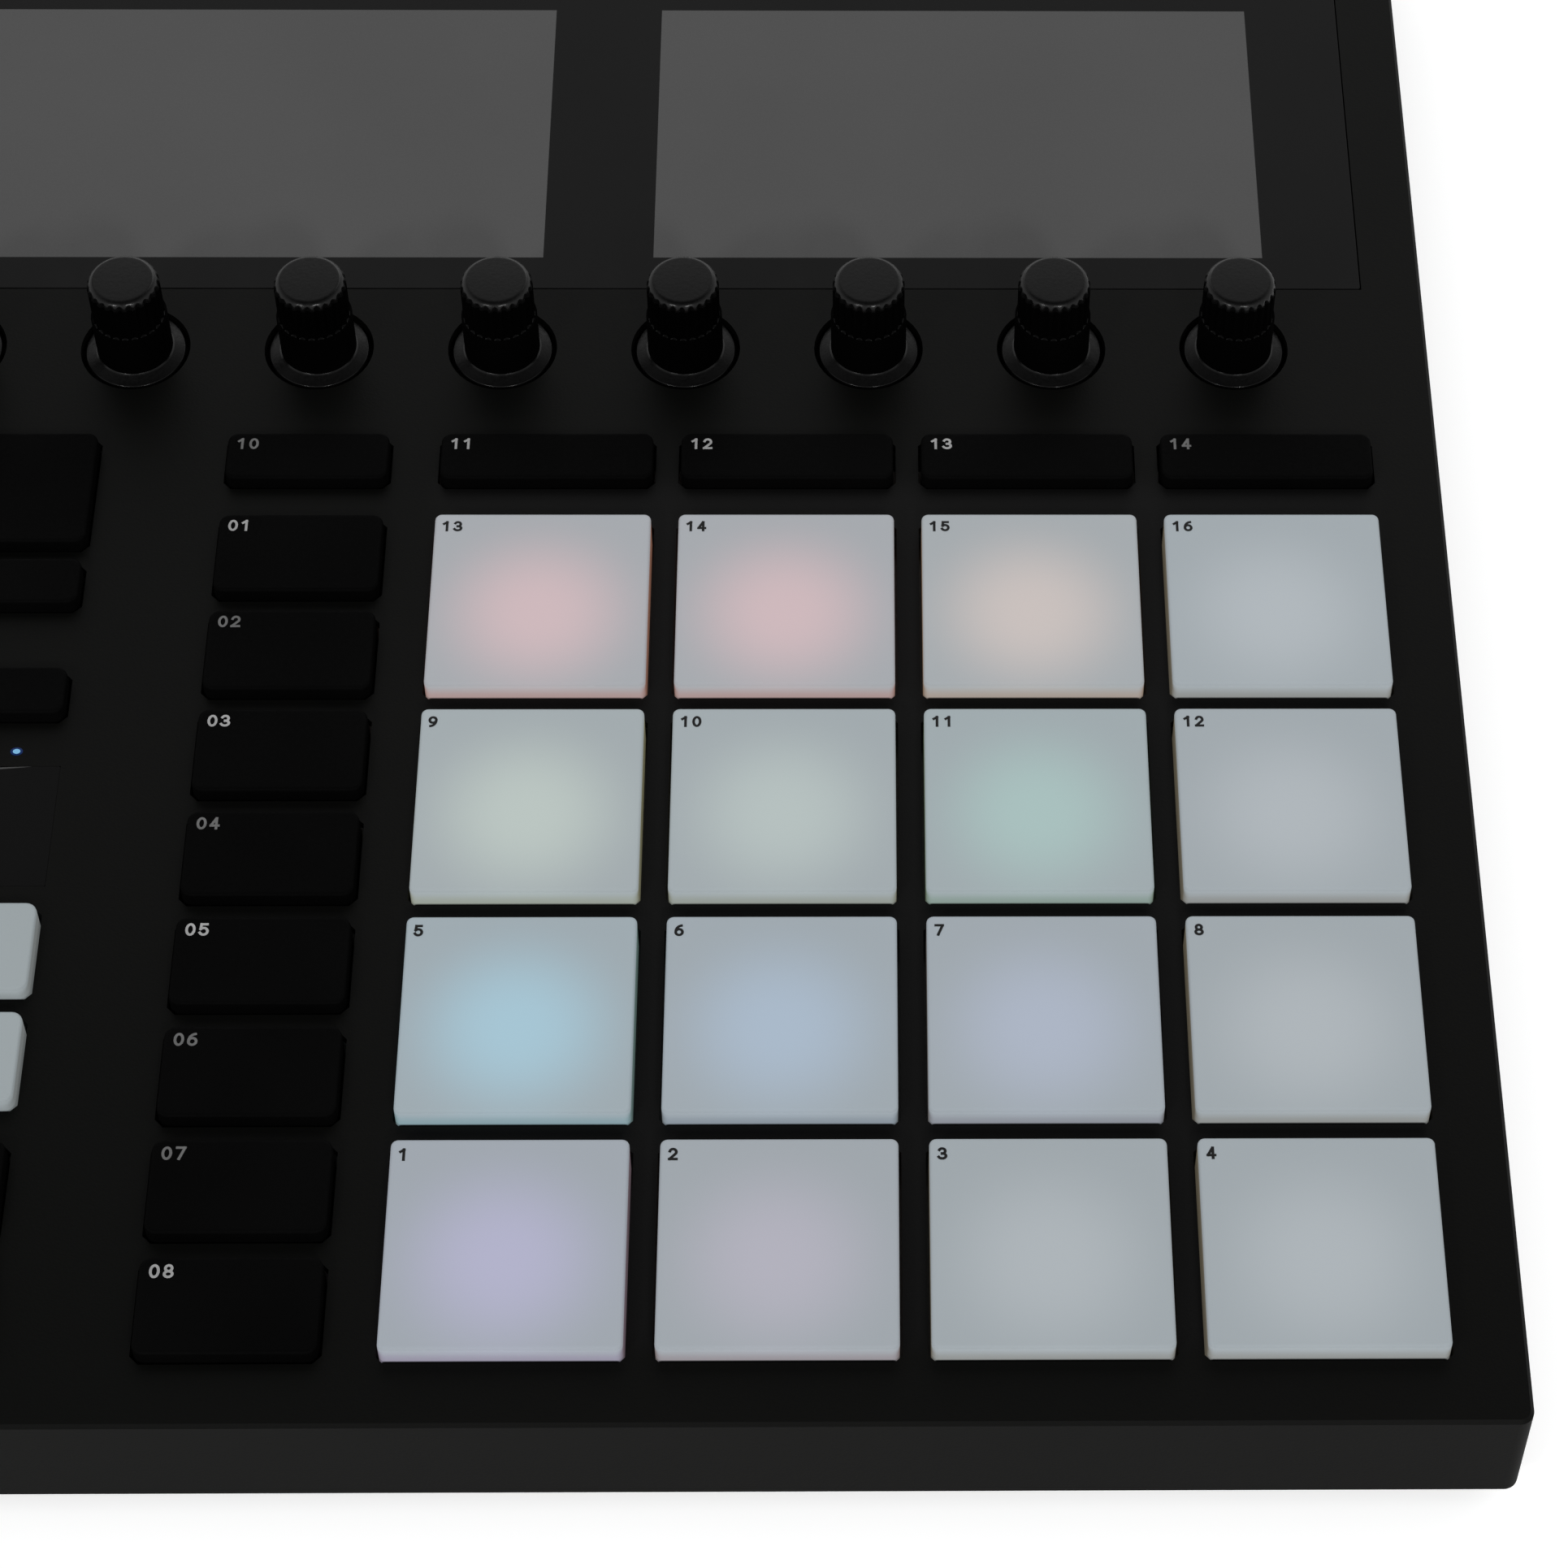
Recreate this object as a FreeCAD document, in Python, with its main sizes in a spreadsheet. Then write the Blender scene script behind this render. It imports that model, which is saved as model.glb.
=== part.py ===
import FreeCAD, Part
import os
import re
import Sketcher

# Desktop pad controller: a folded steel cover over a plastic tray, sixteen lit pads,
# eight fluted knobs under two displays, and rubber keys round them.
# Millimetres. X runs to the right, Y to the back, Z up. The origin is on the desk, under the middle.

SIZES = {
    # Folded steel cover
    "sheet_thick": 1.5,  # steel sheet of the cover, and the window that lies flush in it
    "plate_top": 24.5,  # top of the cover above the desk
    "wall_drop": 18.8,  # how far the folded walls come down
    "case_corner": 2.0,  # upright corners
    "fold_edge": 0.5,  # folded top edge
    "side_margin": 10.2,  # bare plate beside the keys and pads
    "front_margin": 9.5,  # bare plate before the pads
    "rear_margin": 20.45,  # bare plate behind the soft keys
    "post_flats": 5.6,  # hexagonal screw posts under the cover
    "post_inset": 5.1,  # from the outside of a wall to the middle of a post
    # Tray and feet
    "tray_floor": 2.0,
    "tray_rim": 1.5,  # thickness of the tray's upturned rim
    "rim_high": 4.5,  # height of the rim, floor and all
    "fit_gap": 0.3,  # between fixed pieces that slip together
    "boss_side": 9.0,
    "boss_high": 4.0,  # screw bosses above the tray floor
    "foot_high": 3.0,
    "foot_wide": 30.0,
    "foot_deep": 12.0,
    "foot_corner": 2.0,
    "foot_inset": 26.0,
    # Case screws
    "screw_wide": 2.9,
    "screw_bite": 7.0,  # thread inside a post
    "head_wide": 5.6,
    "head_high": 1.8,
    # Clearances of what moves
    "running_gap": 0.3,
    "key_gap": 0.4,  # round a key in its hole
    "pad_gap": 0.35,  # round a pad in its hole
    # Pads
    "pad_side": 32.0,
    "pad_pitch": 36.0,
    "pad_rise": 2.9,
    "pad_travel": 0.6,
    "pad_corner": 1.0,
    "pad_rim": 0.9,  # bevel of a pad's top edge
    "pad_lip": 1.1,  # hidden flange round a pad
    "pad_base": 1.5,  # thickness of that flange
    # Keys
    "key_wide": 24.2,
    "key_spacing": 3.6,  # plate left between two keys of a column
    "key_rise": 2.2,
    "key_travel": 1.0,
    "key_corner": 0.8,
    "key_lip": 1.2,
    "key_base": 1.2,
    "stem_side": 6.0,
    "mode_wide": 31.8,  # keys behind the pads
    "slim_deep": 8.8,  # depth of the shallow keys
    "small_deep": 8.2,
    "repeat_deep": 20.9,
    "group_deep": 14.6,
    "block_pitch": 28.0,  # from column to column in the left block
    "side_pitch": 18.0,  # from row to row beside the displays
    "small_gap": 3.2,  # between the large key and the small one before it
    # Bare strips between the blocks
    "block_gap": 19.5,
    "column_gap": 7.7,
    "row_gap": 7.4,
    "group_gap": 5.9,
    "strip_gap": 4.4,
    "perform_gap": 8.3,
    "knob_front": 18.8,  # from the keys behind the pads to the middle of the knobs
    "knob_back": 12.45,  # from there to the window
    "soft_gap": 5.9,
    # Displays
    "window_border": 9.6,  # glass beside the panels
    "window_brow": 3.45,  # glass before and behind the panels
    "window_margin": 9.6,
    "window_gap": 10.6,
    "panel_wide": 105.4,
    "panel_deep": 62.0,
    "panel_thick": 3.0,
    "panel_space": 6.8,  # between the two panels
    "bezel_lip": 3.0,
    "bezel_high": 4.0,
    # Touch strip
    "strip_deep": 20.2,
    "strip_lip": 1.5,
    "strip_base": 1.4,
    # Knobs
    "knob_rise": 15.6,
    "knob_sunk": 0.9,  # skirt below the top of the plate
    "knob_hole": 16.7,
    "skirt_wide": 15.1,
    "skirt_edge": 0.6,
    "skirt_high": 0.7,
    "neck_wide": 11.5,
    "neck_high": 7.85,  # top of the smooth neck above the plate
    "cap_wide": 10.9,
    "cap_bevel": 0.6,
    "flute_deep": 0.45,
    "shaft_wide": 6.0,
    "shaft_fit": 0.2,
    "shaft_depth": 9.0,  # stem inside the large dial
    "encoder_side": 12.0,
    "encoder_high": 6.4,
    # Large push encoder
    "dial_wide": 30.0,
    "dial_rise": 13.0,
    "dial_bevel": 1.2,
    "dial_travel": 0.8,
    "dial_gap": 0.9,
    # Boards
    "board_thick": 1.6,
    "board_inset": 9.0,
    "key_room": 7.0,  # from the board to the underside of the plate
    "mat_thick": 1.2,
    "mat_lip": 1.6,
    "spacer_side": 8.0,
    # Sockets at the back
    "socket_deep": 15.0,
    "din_body": 15.6,
    "din_bore": 13.6,
    "din_recess": 6.5,
    "din_pitch": 24.0,
    "usb_wide": 12.0,
    "usb_high": 11.0,
    "usb_mouth_wide": 8.5,
    "usb_mouth_high": 7.8,
    "usb_recess": 8.6,
    "usb_tongue_wide": 5.6,
    "usb_tongue_high": 3.2,
    "usb_tongue_long": 3.8,
    "inlet_body": 10.0,
    "inlet_bore": 6.4,
    "inlet_recess": 8.6,
    "inlet_pin": 2.0,
    "inlet_pin_long": 4.0,
    "rear_pitch": 22.0,
    "usb_offset": 70.0,  # from the middle post to the middle of the square socket
    "button_wide": 8.0,
    "button_travel": 1.5,
    "button_gap": 0.4,
}

# Places worked out from the sizes
PLACES = {
    "panel_pitch": "panel_wide + panel_space",
    "knob_pitch": "panel_pitch / 4",
    "window_wide": "panel_pitch + panel_wide + 2 * window_border",
    "window_deep": "panel_deep + 2 * window_brow",
    "pads_span": "3 * pad_pitch + pad_side",
    "block_span": "3 * block_pitch + key_wide",
    "front_span": "2 * side_margin + block_span + block_gap + key_wide + column_gap + pads_span",
    "rear_span": "side_margin + block_pitch + key_wide + window_gap + window_wide + window_margin",
    "case_wide": "max(front_span; rear_span)",
    "case_deep": "front_margin + pads_span + row_gap + slim_deep + knob_front + knob_back"
    " + window_deep + soft_gap + slim_deep + rear_margin",
    "half_wide": "case_wide / 2",
    "half_deep": "case_deep / 2",
    "pads_left": "half_wide - side_margin - pads_span",
    "pads_front": "-half_deep + front_margin",
    "pads_back": "pads_front + pads_span",
    "column_left": "pads_left - column_gap - key_wide",
    "block_left": "-half_wide + side_margin",
    "block_right": "block_left + block_span",
    "mode_front": "pads_back + row_gap",
    "mode_back": "mode_front + slim_deep",
    "knob_row": "mode_back + knob_front",
    "window_front": "knob_row + knob_back",
    "window_back": "window_front + window_deep",
    "window_left": "half_wide - window_margin - window_wide",
    "window_x": "window_left + window_wide / 2",
    "window_y": "window_front + window_deep / 2",
    "soft_front": "window_back + soft_gap",
    "row_pitch": "pad_pitch / 2",
    "key_deep": "row_pitch - key_spacing",
    "group_front": "pads_front + row_pitch + key_deep + group_gap",
    "strip_front": "group_front + row_pitch + group_deep + strip_gap",
    "perform_front": "strip_front + strip_deep + perform_gap",
    "repeat_front": "mode_back - repeat_deep",
    "lock_front": "repeat_front - small_gap - small_deep",
    "level_pitch": "(mode_back - small_deep - lock_front) / 2",
    "dial_x": "block_left + (block_pitch + key_wide) / 2",
    "dial_y": "(mode_back + lock_front) / 2",
    "post_x": "half_wide - post_inset",
    "post_y": "half_deep - post_inset",
    "middle_x": "(block_right + column_left) / 2",
    "middle_y": "mode_back + (knob_front - knob_hole / 2) / 2",
    "foot_x": "half_wide - foot_inset",
    "foot_y": "half_deep - foot_inset",
    "plate_under": "plate_top - sheet_thick",
    "wall_low": "plate_top - wall_drop",
    "inner_wide": "case_wide - 2 * sheet_thick",
    "inner_deep": "case_deep - 2 * sheet_thick",
    "tray_top": "foot_high + tray_floor",
    "boss_top": "tray_top + boss_high",
    "board_top": "plate_under - key_room",
    "board_low": "board_top - board_thick",
    "board_back": "soft_front + slim_deep + mat_lip",
    "mat_top": "board_top + mat_thick",
    "flange_top": "plate_under - running_gap",
    "key_low": "flange_top - key_base",
    "stem_low": "mat_top + running_gap + key_travel",
    "pad_low": "flange_top - pad_base",
    "pad_board_top": "pad_low - pad_travel - running_gap",
    "pad_board_low": "pad_board_top - board_thick",
    "encoder_top": "board_top + encoder_high",
    "knob_low": "plate_top - knob_sunk",
    "knob_top": "plate_top + knob_rise",
    "dial_low": "plate_top + running_gap + dial_travel",
    "io_top": "tray_top + board_thick",
    "socket_middle": "io_top + din_body / 2",
    "socket_back": "half_deep - sheet_thick",
    "socket_front": "socket_back - socket_deep",
    "usb_x": "middle_x + usb_offset",
    "inlet_x": "usb_x - rear_pitch",
    "button_x": "inlet_x - rear_pitch",
    "din_x": "usb_x + rear_pitch",
    "io_left": "button_x - button_wide",
    "io_right": "din_x + din_pitch + din_body",
}

FLUTES = 24  # ridges round a knob's cap
KNOB_SIDES = 32  # of a knob's plain outlines, kept low because the knobs repeat
DIAL_SIDES = 48
SHAFT_SIDES = 18

doc = FreeCAD.newDocument("PadController")
node_names = []


def formula(text):
    """The expression for a formula whose words are sizes and places."""
    def owner(found):
        word = found.group(0)
        if word in SIZES:
            return "Sizes." + word
        return "Places." + word if word in PLACES else word
    return re.sub(r"[a-z]+(?:_[a-z]+)*", owner, str(text))


def fill_sheet(name, rows):
    sheet = doc.addObject("Spreadsheet::Sheet", name)
    for row, (alias, content) in enumerate(rows.items(), 1):
        sheet.set(f"A{row}", alias)
        sheet.set(f"B{row}", content)
        sheet.setAlias(f"B{row}", alias)
    return sheet


def bind(thing, **formulas):
    """Ties properties to the sheets. A double underscore stands for the dot in a property's path."""
    for path, text in formulas.items():
        thing.setExpression(path.replace("__", "."), formula(text))


def finished(body):
    """Marks a body as a sub-part that is written out."""
    node_names.append(body.Name)
    return body


def copy_of(form, name, x, y):
    """A sub-part of its own with the shape of a form, set at its place."""
    body = new_body(name, x, y)
    body.BaseFeature = form
    return finished(body)


def origin_feature(body, role):
    return next(feature for feature in body.Origin.OriginFeatures if feature.Role == role)


def new_body(name, x="0", y="0"):
    body = doc.addObject("PartDesign::Body", name)
    body.Label = name
    body.AllowCompound = True
    bind(body, Placement__Base__x=x, Placement__Base__y=y)
    return body


def new_sketch(body, name, role="XY_Plane", level="0"):
    sketch = body.newObject("Sketcher::SketchObject", f"{body.Name}_{name}")
    sketch.AttachmentSupport = [(origin_feature(body, role), "")]
    sketch.MapMode = "FlatFace"
    bind(sketch, AttachmentOffset__Base__z=level)
    return sketch


def value_of(text):
    """What a formula comes to now. It starts a sketch near its final shape."""
    return float(sizes.evalExpression(formula(text)))


def constrain(sketch, plain, measured):
    """Adds constraints in one go, and ties each measured one to its formula."""
    first = sketch.ConstraintCount
    sketch.addConstraint(plain + [Sketcher.Constraint(*parts, value_of(text)) for parts, text in measured])
    for number, (parts, text) in enumerate(measured, first + len(plain)):
        sketch.setExpression(f"Constraints[{number}]", formula(text))


def pinned(line, end, place):
    """Holds one end of a line, or an arc's centre, at a place given by two formulas."""
    return [(("DistanceX", -1, 1, line, end), place[0]), (("DistanceY", -1, 1, line, end), place[1])]


def polygon(body, name, places, role="XY_Plane", level="0"):
    """A closed outline of straight lines."""
    sketch = new_sketch(body, name, role, level)
    points = [FreeCAD.Vector(value_of(x), value_of(y), 0) for x, y in places]
    following = points[1:] + points[:1]
    sketch.addGeometry([Part.LineSegment(start, end) for start, end in zip(points, following)])
    count = len(points)
    joined = [
        Sketcher.Constraint("Coincident", index, 2, (index + 1) % count, 1) for index in range(count)
    ]
    measured = []
    for index, place in enumerate(places):
        measured += pinned(index, 1, place)
    constrain(sketch, joined, measured)
    return sketch


def eased_outline(body, name, wide, deep, corner, x="0", y="0", level="0"):
    """A rectangle with cut corners about a middle point."""
    half_x, half_y = f"({wide}) / 2", f"({deep}) / 2"
    inner_x, inner_y = f"({half_x} - ({corner}))", f"({half_y} - ({corner}))"
    turns = [
        (1, half_x, -1, inner_y), (1, half_x, 1, inner_y), (1, inner_x, 1, half_y),
        (-1, inner_x, 1, half_y), (-1, half_x, 1, inner_y), (-1, half_x, -1, inner_y),
        (-1, inner_x, -1, half_y), (1, inner_x, -1, half_y),
    ]
    places = [
        (f"{x} + {across} * {reach_x}", f"{y} + {along} * {reach_y}")
        for across, reach_x, along, reach_y in turns
    ]
    return polygon(body, name, places, level=level)


def circle_outline(body, name, diameter, x="0", y="0", level="0"):
    sketch = new_sketch(body, name, level=level)
    centre = FreeCAD.Vector(value_of(x), value_of(y), 0)
    sketch.addGeometry(Part.Circle(centre, FreeCAD.Vector(0, 0, 1), value_of(diameter) / 2))
    constrain(sketch, [], pinned(0, 3, (x, y)) + [(("Diameter", 0), diameter)])
    return sketch


def feature(body, kind, name, sketch, length):
    """A Pad or a Pocket of a sketch."""
    made = body.newObject(f"PartDesign::{kind}", f"{body.Name}_{name}")
    made.Profile = sketch
    made.Refine = False
    bind(made, Length=length)
    return made


def block(body, name, size, low, cut=False):
    """A box of a size, from its lowest corner."""
    kind = "SubtractiveBox" if cut else "AdditiveBox"
    made = body.newObject(f"PartDesign::{kind}", f"{body.Name}_{name}")
    made.Refine = False
    bind(made, Length=size[0], Width=size[1], Height=size[2])
    bind(made, Placement__Base__x=low[0], Placement__Base__y=low[1], Placement__Base__z=low[2])
    return made


def drum(body, name, diameter, height, low, cut=False, along_y=False):
    """An upright cylinder from the middle of its foot, or one that runs to the back."""
    kind = "SubtractiveCylinder" if cut else "AdditiveCylinder"
    made = body.newObject(f"PartDesign::{kind}", f"{body.Name}_{name}")
    if along_y:
        made.Placement.Rotation = FreeCAD.Rotation(FreeCAD.Vector(1, 0, 0), -90)
    made.Refine = False
    bind(made, Radius=f"({diameter}) / 2", Height=height)
    bind(made, Placement__Base__x=low[0], Placement__Base__y=low[1], Placement__Base__z=low[2])
    return made


def row_of(body, name, original, role, length, count, second=None, whole=False):
    """A row of copies, or with second, which is (axis, length, count), a grid of them."""
    made = body.newObject("PartDesign::LinearPattern", f"{body.Name}_{name}")
    if whole:
        made.TransformMode = "Whole shape"
    else:
        made.Originals = original
    made.Refine = False
    made.Direction = (origin_feature(body, role), [""])
    made.Occurrences = count
    bind(made, Length=length)
    if second:
        made.Direction2 = (origin_feature(body, second[0]), [""])
        made.Occurrences2 = second[2]
        bind(made, Length2=second[1])
    body.Tip = made
    return made


def edges_at(shape, level):
    """Names of the edges that lie at one height."""
    names = []
    for number, edge in enumerate(shape.Edges, 1):
        box = edge.BoundBox
        if abs(box.ZMin - level) < 1e-4 and abs(box.ZMax - level) < 1e-4:
            names.append(f"Edge{number}")
    return names


def upright_edges(shape):
    names = []
    for number, edge in enumerate(shape.Edges, 1):
        box = edge.BoundBox
        if box.ZLength > 1 and box.XLength < 1e-4 and box.YLength < 1e-4:
            names.append(f"Edge{number}")
    return names


def ease(body, name, base, names, size, kind="Chamfer"):
    """A chamfer or a fillet on named edges of the last feature."""
    made = body.newObject(f"PartDesign::{kind}", f"{body.Name}_{name}")
    made.Base = (base, names)
    bind(made, **{"Size" if kind == "Chamfer" else "Radius": size})
    doc.recompute()
    return made


sizes = fill_sheet("Sizes", {name: str(value) for name, value in SIZES.items()})
places = fill_sheet("Places", {name: "=" + formula(text) for name, text in PLACES.items()})
doc.recompute()
# Every key's hole in the cover: name, width, depth, middle of the first one, then the row or grid
KEY_HOLES = [
    ("mode_holes", "mode_wide", "slim_deep", "pads_left + pad_side / 2", "mode_front + slim_deep / 2",
     ("pad_pitch * 3", 4), None),
    ("fixed_hole", "key_wide", "slim_deep", "column_left + key_wide / 2", "mode_front + slim_deep / 2",
     None, None),
    ("column_holes", "key_wide", "key_deep", "column_left + key_wide / 2", "pads_front + key_deep / 2",
     None, ("row_pitch * 7", 8)),
    ("soft_holes", "key_wide", "slim_deep", "window_x - 3.5 * knob_pitch", "soft_front + slim_deep / 2",
     ("knob_pitch * 7", 8), None),
    ("side_holes", "key_wide", "slim_deep", "block_left + key_wide / 2",
     "soft_front - 5 * side_pitch + slim_deep / 2", ("block_pitch", 2), ("side_pitch * 5", 6)),
    ("level_holes", "key_wide", "small_deep", "block_left + 2 * block_pitch + key_wide / 2",
     "lock_front + small_deep / 2", None, ("level_pitch * 2", 3)),
    ("lock_hole", "key_wide", "small_deep", "block_right - key_wide / 2", "lock_front + small_deep / 2",
     None, None),
    ("repeat_hole", "key_wide", "repeat_deep", "block_right - key_wide / 2",
     "repeat_front + repeat_deep / 2", None, None),
    ("perform_holes", "key_wide", "small_deep", "block_left + key_wide / 2",
     "perform_front + small_deep / 2", ("block_pitch * 3", 4), None),
    ("group_holes", "key_wide", "group_deep", "block_left + key_wide / 2",
     "group_front + group_deep / 2", ("block_pitch * 3", 4), ("row_pitch", 2)),
    ("transport_holes", "key_wide", "key_deep", "block_left + key_wide / 2",
     "pads_front + key_deep / 2", ("block_pitch * 3", 4), ("row_pitch", 2)),
]

SCREW_PLACES = [
    ("-post_x", "-post_y"), ("post_x", "-post_y"), ("-post_x", "post_y"), ("post_x", "post_y"),
    ("middle_x", "middle_y"),
]


BOARD_RESTS = [
    ("-half_wide + board_inset + spacer_side", "pads_front + spacer_side"),
    ("half_wide - board_inset - spacer_side", "pads_front + spacer_side"),
    ("-half_wide + board_inset + spacer_side", "board_back - spacer_side"),
    ("half_wide - board_inset - spacer_side", "board_back - spacer_side"),
    ("middle_x", "pads_front + pads_span / 2"),
    ("window_x", "window_y"),
]


def pattern_holes(body, name, first, across, along):
    """Repeats a hole over a row, a column or a grid."""
    if across and along:
        row_of(body, name, [first], "X_Axis", across[0], across[1], ("Y_Axis", *along))
    elif across:
        row_of(body, name, [first], "X_Axis", *across)
    elif along:
        row_of(body, name, [first], "Y_Axis", *along)


def hexagon(body, name, flats, x, y, level):
    """A six-sided outline about a point, two of its sides square to X."""
    half = f"({flats}) / 2"
    point = f"({flats}) / sqrt(3)"
    corners = [
        (f"{x} + {half}", f"{y} + {point} / 2"), (x, f"{y} + {point}"),
        (f"{x} - {half}", f"{y} + {point} / 2"), (f"{x} - {half}", f"{y} - {point} / 2"),
        (x, f"{y} - {point}"), (f"{x} + {half}", f"{y} - {point} / 2"),
    ]
    return polygon(body, name, corners, level=level)


def make_shell():
    """The folded plate and walls of the cover, and the posts for the case screws."""
    body = new_body("cover_shell")
    outside = block(body, "outside", ("case_wide", "case_deep", "wall_drop"),
                    ("-half_wide", "-half_deep", "wall_low"))
    doc.recompute()
    corners = ease(body, "corners", outside, upright_edges(outside.Shape), "case_corner", "Fillet")
    top = edges_at(corners.Shape, value_of("plate_top"))
    ease(body, "fold", corners, top, "fold_edge")
    block(body, "inside", ("inner_wide", "inner_deep", "wall_drop - sheet_thick"),
          ("-inner_wide / 2", "-inner_deep / 2", "wall_low"), cut=True)
    for number, (x, y) in enumerate(SCREW_PLACES, 1):
        outline = hexagon(body, f"post_outline_{number}", "post_flats", x, y, "boss_top")
        feature(body, "Pad", f"post_{number}", outline, "plate_under - boss_top")
        thread = shaft(body, f"thread_{number}", "screw_wide / 2 + shaft_fit", "boss_top",
                         "boss_top + screw_bite", cut=True)
        bind(thread, Placement__Base__x=x, Placement__Base__y=y)
    cut_socket_holes(body)
    return body


def cutter(name, outline_kind, *outline_sizes):
    """A body whose pad runs through the plate, for a hole of the outline."""
    body = new_body(name)
    outline = outline_kind(body, "outline", *outline_sizes, level="plate_under - sheet_thick")
    return body, feature(body, "Pad", "through", outline, "3 * sheet_thick")


def make_top_cover():
    """Folded steel with a hole for each pad, key and knob, the window and the touch strip."""
    cutters = []
    body, first = cutter("pad_holes", eased_outline, "pad_side + 2 * pad_gap",
                         "pad_side + 2 * pad_gap", "pad_corner",
                         "pads_left + pad_side / 2", "pads_front + pad_side / 2")
    row_of(body, "grid", [first], "X_Axis", "pad_pitch * 3", 4, ("Y_Axis", "pad_pitch * 3", 4))
    cutters.append(body)
    for name, wide, deep, x, y, across, along in KEY_HOLES:
        body, first = cutter(name, eased_outline, f"{wide} + 2 * key_gap", f"{deep} + 2 * key_gap",
                             "key_corner + key_gap", x, y)
        pattern_holes(body, "grid", first, across, along)
        cutters.append(body)
    body, first = cutter("knob_holes", circle_outline, "knob_hole", "window_x - 3.5 * knob_pitch",
                         "knob_row")
    row_of(body, "grid", [first], "X_Axis", "knob_pitch * 7", 8)
    cutters.append(body)
    body, first = cutter("dial_hole", circle_outline, "shaft_wide + 2 * dial_gap", "dial_x", "dial_y")
    cutters.append(body)
    body = new_body("long_cuts")
    block(body, "window", ("window_wide + 2 * fit_gap", "window_deep + 2 * fit_gap", "3 * sheet_thick"),
          ("window_left - fit_gap", "window_front - fit_gap", "plate_under - sheet_thick"))
    block(body, "strip", ("block_span + 2 * fit_gap", "strip_deep + 2 * fit_gap", "3 * sheet_thick"),
          ("block_left - fit_gap", "strip_front - fit_gap", "plate_under - sheet_thick"))
    cutters.append(body)
    holes = doc.addObject("Part::Compound", "cover_holes")
    holes.Links = cutters
    cover = doc.addObject("Part::Cut", "top_cover")
    cover.Label = "top_cover"
    cover.Base = make_shell()
    cover.Tool = holes
    cover.Refine = False
    return finished(cover)


def cut_socket_holes(body):
    """The holes in the rear wall, one for each socket and the power button."""
    start, depth = "socket_back", "sheet_thick"
    for number in range(2):
        drum(body, f"din_hole_{number + 1}", "din_bore + 2 * fit_gap", depth,
             (f"din_x + {number} * din_pitch", start, "socket_middle"), cut=True, along_y=True)
    block(body, "usb_hole", ("usb_mouth_wide + 4 * fit_gap", depth, "usb_mouth_high + 4 * fit_gap"),
          ("usb_x - usb_mouth_wide / 2 - 2 * fit_gap", start,
           "socket_middle - usb_mouth_high / 2 - 2 * fit_gap"), cut=True)
    drum(body, "inlet_hole", "inlet_bore + 4 * fit_gap", depth, ("inlet_x", start, "socket_middle"),
         cut=True, along_y=True)
    drum(body, "button_hole", "button_wide + 2 * button_gap", depth,
         ("button_x", start, "socket_middle"), cut=True, along_y=True)


def make_base_tray():
    """Plastic tray inside the walls: floor, low rim, screw bosses and the rests of the board."""
    body = new_body("base_tray")
    wide, deep = "inner_wide - 2 * fit_gap", "inner_deep - 2 * fit_gap"
    block(body, "outside", (wide, deep, "rim_high"),
          (f"-({wide}) / 2", f"-({deep}) / 2", "foot_high"))
    wide, deep = wide + " - 2 * tray_rim", deep + " - 2 * tray_rim"
    block(body, "inside", (wide, deep, "rim_high - tray_floor"),
          (f"-({wide}) / 2", f"-({deep}) / 2", "tray_top"), cut=True)
    block(body, "socket_notch", ("io_right - io_left + 2 * fit_gap", "socket_deep", "rim_high"),
          ("io_left - fit_gap", "socket_front", "tray_top"), cut=True)
    for number, (x, y) in enumerate(SCREW_PLACES, 1):
        side = x.startswith("-") - x.startswith("post_x")
        front = y.startswith("-") - y.startswith("post_y")
        # A boss beside the rim grows inwards from the screw, so that it stays inside the walls.
        reach = "boss_side / 2 - post_flats / 2"
        block(body, f"boss_{number}", ("boss_side", "boss_side", "boss_high"),
              (f"{x} - boss_side / 2 + {side} * ({reach})",
               f"{y} - boss_side / 2 + {front} * ({reach})", "tray_top"))
    for number, (x, y) in enumerate(BOARD_RESTS, 1):
        block(body, f"rest_{number}", ("spacer_side", "spacer_side", "board_low - tray_top"),
              (f"{x} - spacer_side / 2", f"{y} - spacer_side / 2", "tray_top"))
    for number, (x, y) in enumerate(SCREW_PLACES, 1):
        hole = shaft(body, f"screw_hole_{number}", "screw_wide / 2 + fit_gap", "foot_high", "boss_top",
                       cut=True)
        bind(hole, Placement__Base__x=x, Placement__Base__y=y)
    return finished(body)


def make_feet():
    body = new_body("rubber_feet", "-foot_x", "-foot_y")
    outline = eased_outline(body, "outline", "foot_wide", "foot_deep", "foot_corner")
    foot = feature(body, "Pad", "foot", outline, "foot_high")
    row_of(body, "feet", [foot], "X_Axis", "2 * foot_x", 2, ("Y_Axis", "2 * foot_y", 2))
    return finished(body)


def make_screws():
    """Pan-head screws through the tray into the cover's posts."""
    body = new_body("case_screws")
    for number, (x, y) in enumerate(SCREW_PLACES, 1):
        drum(body, f"head_{number}", "head_wide", "head_high", (x, y, "foot_high - head_high"))
        shank = shaft(body, f"shank_{number}", "screw_wide / 2", "foot_high",
                        "boss_top + screw_bite - running_gap")
        bind(shank, Placement__Base__x=x, Placement__Base__y=y)
    return finished(body)


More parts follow.
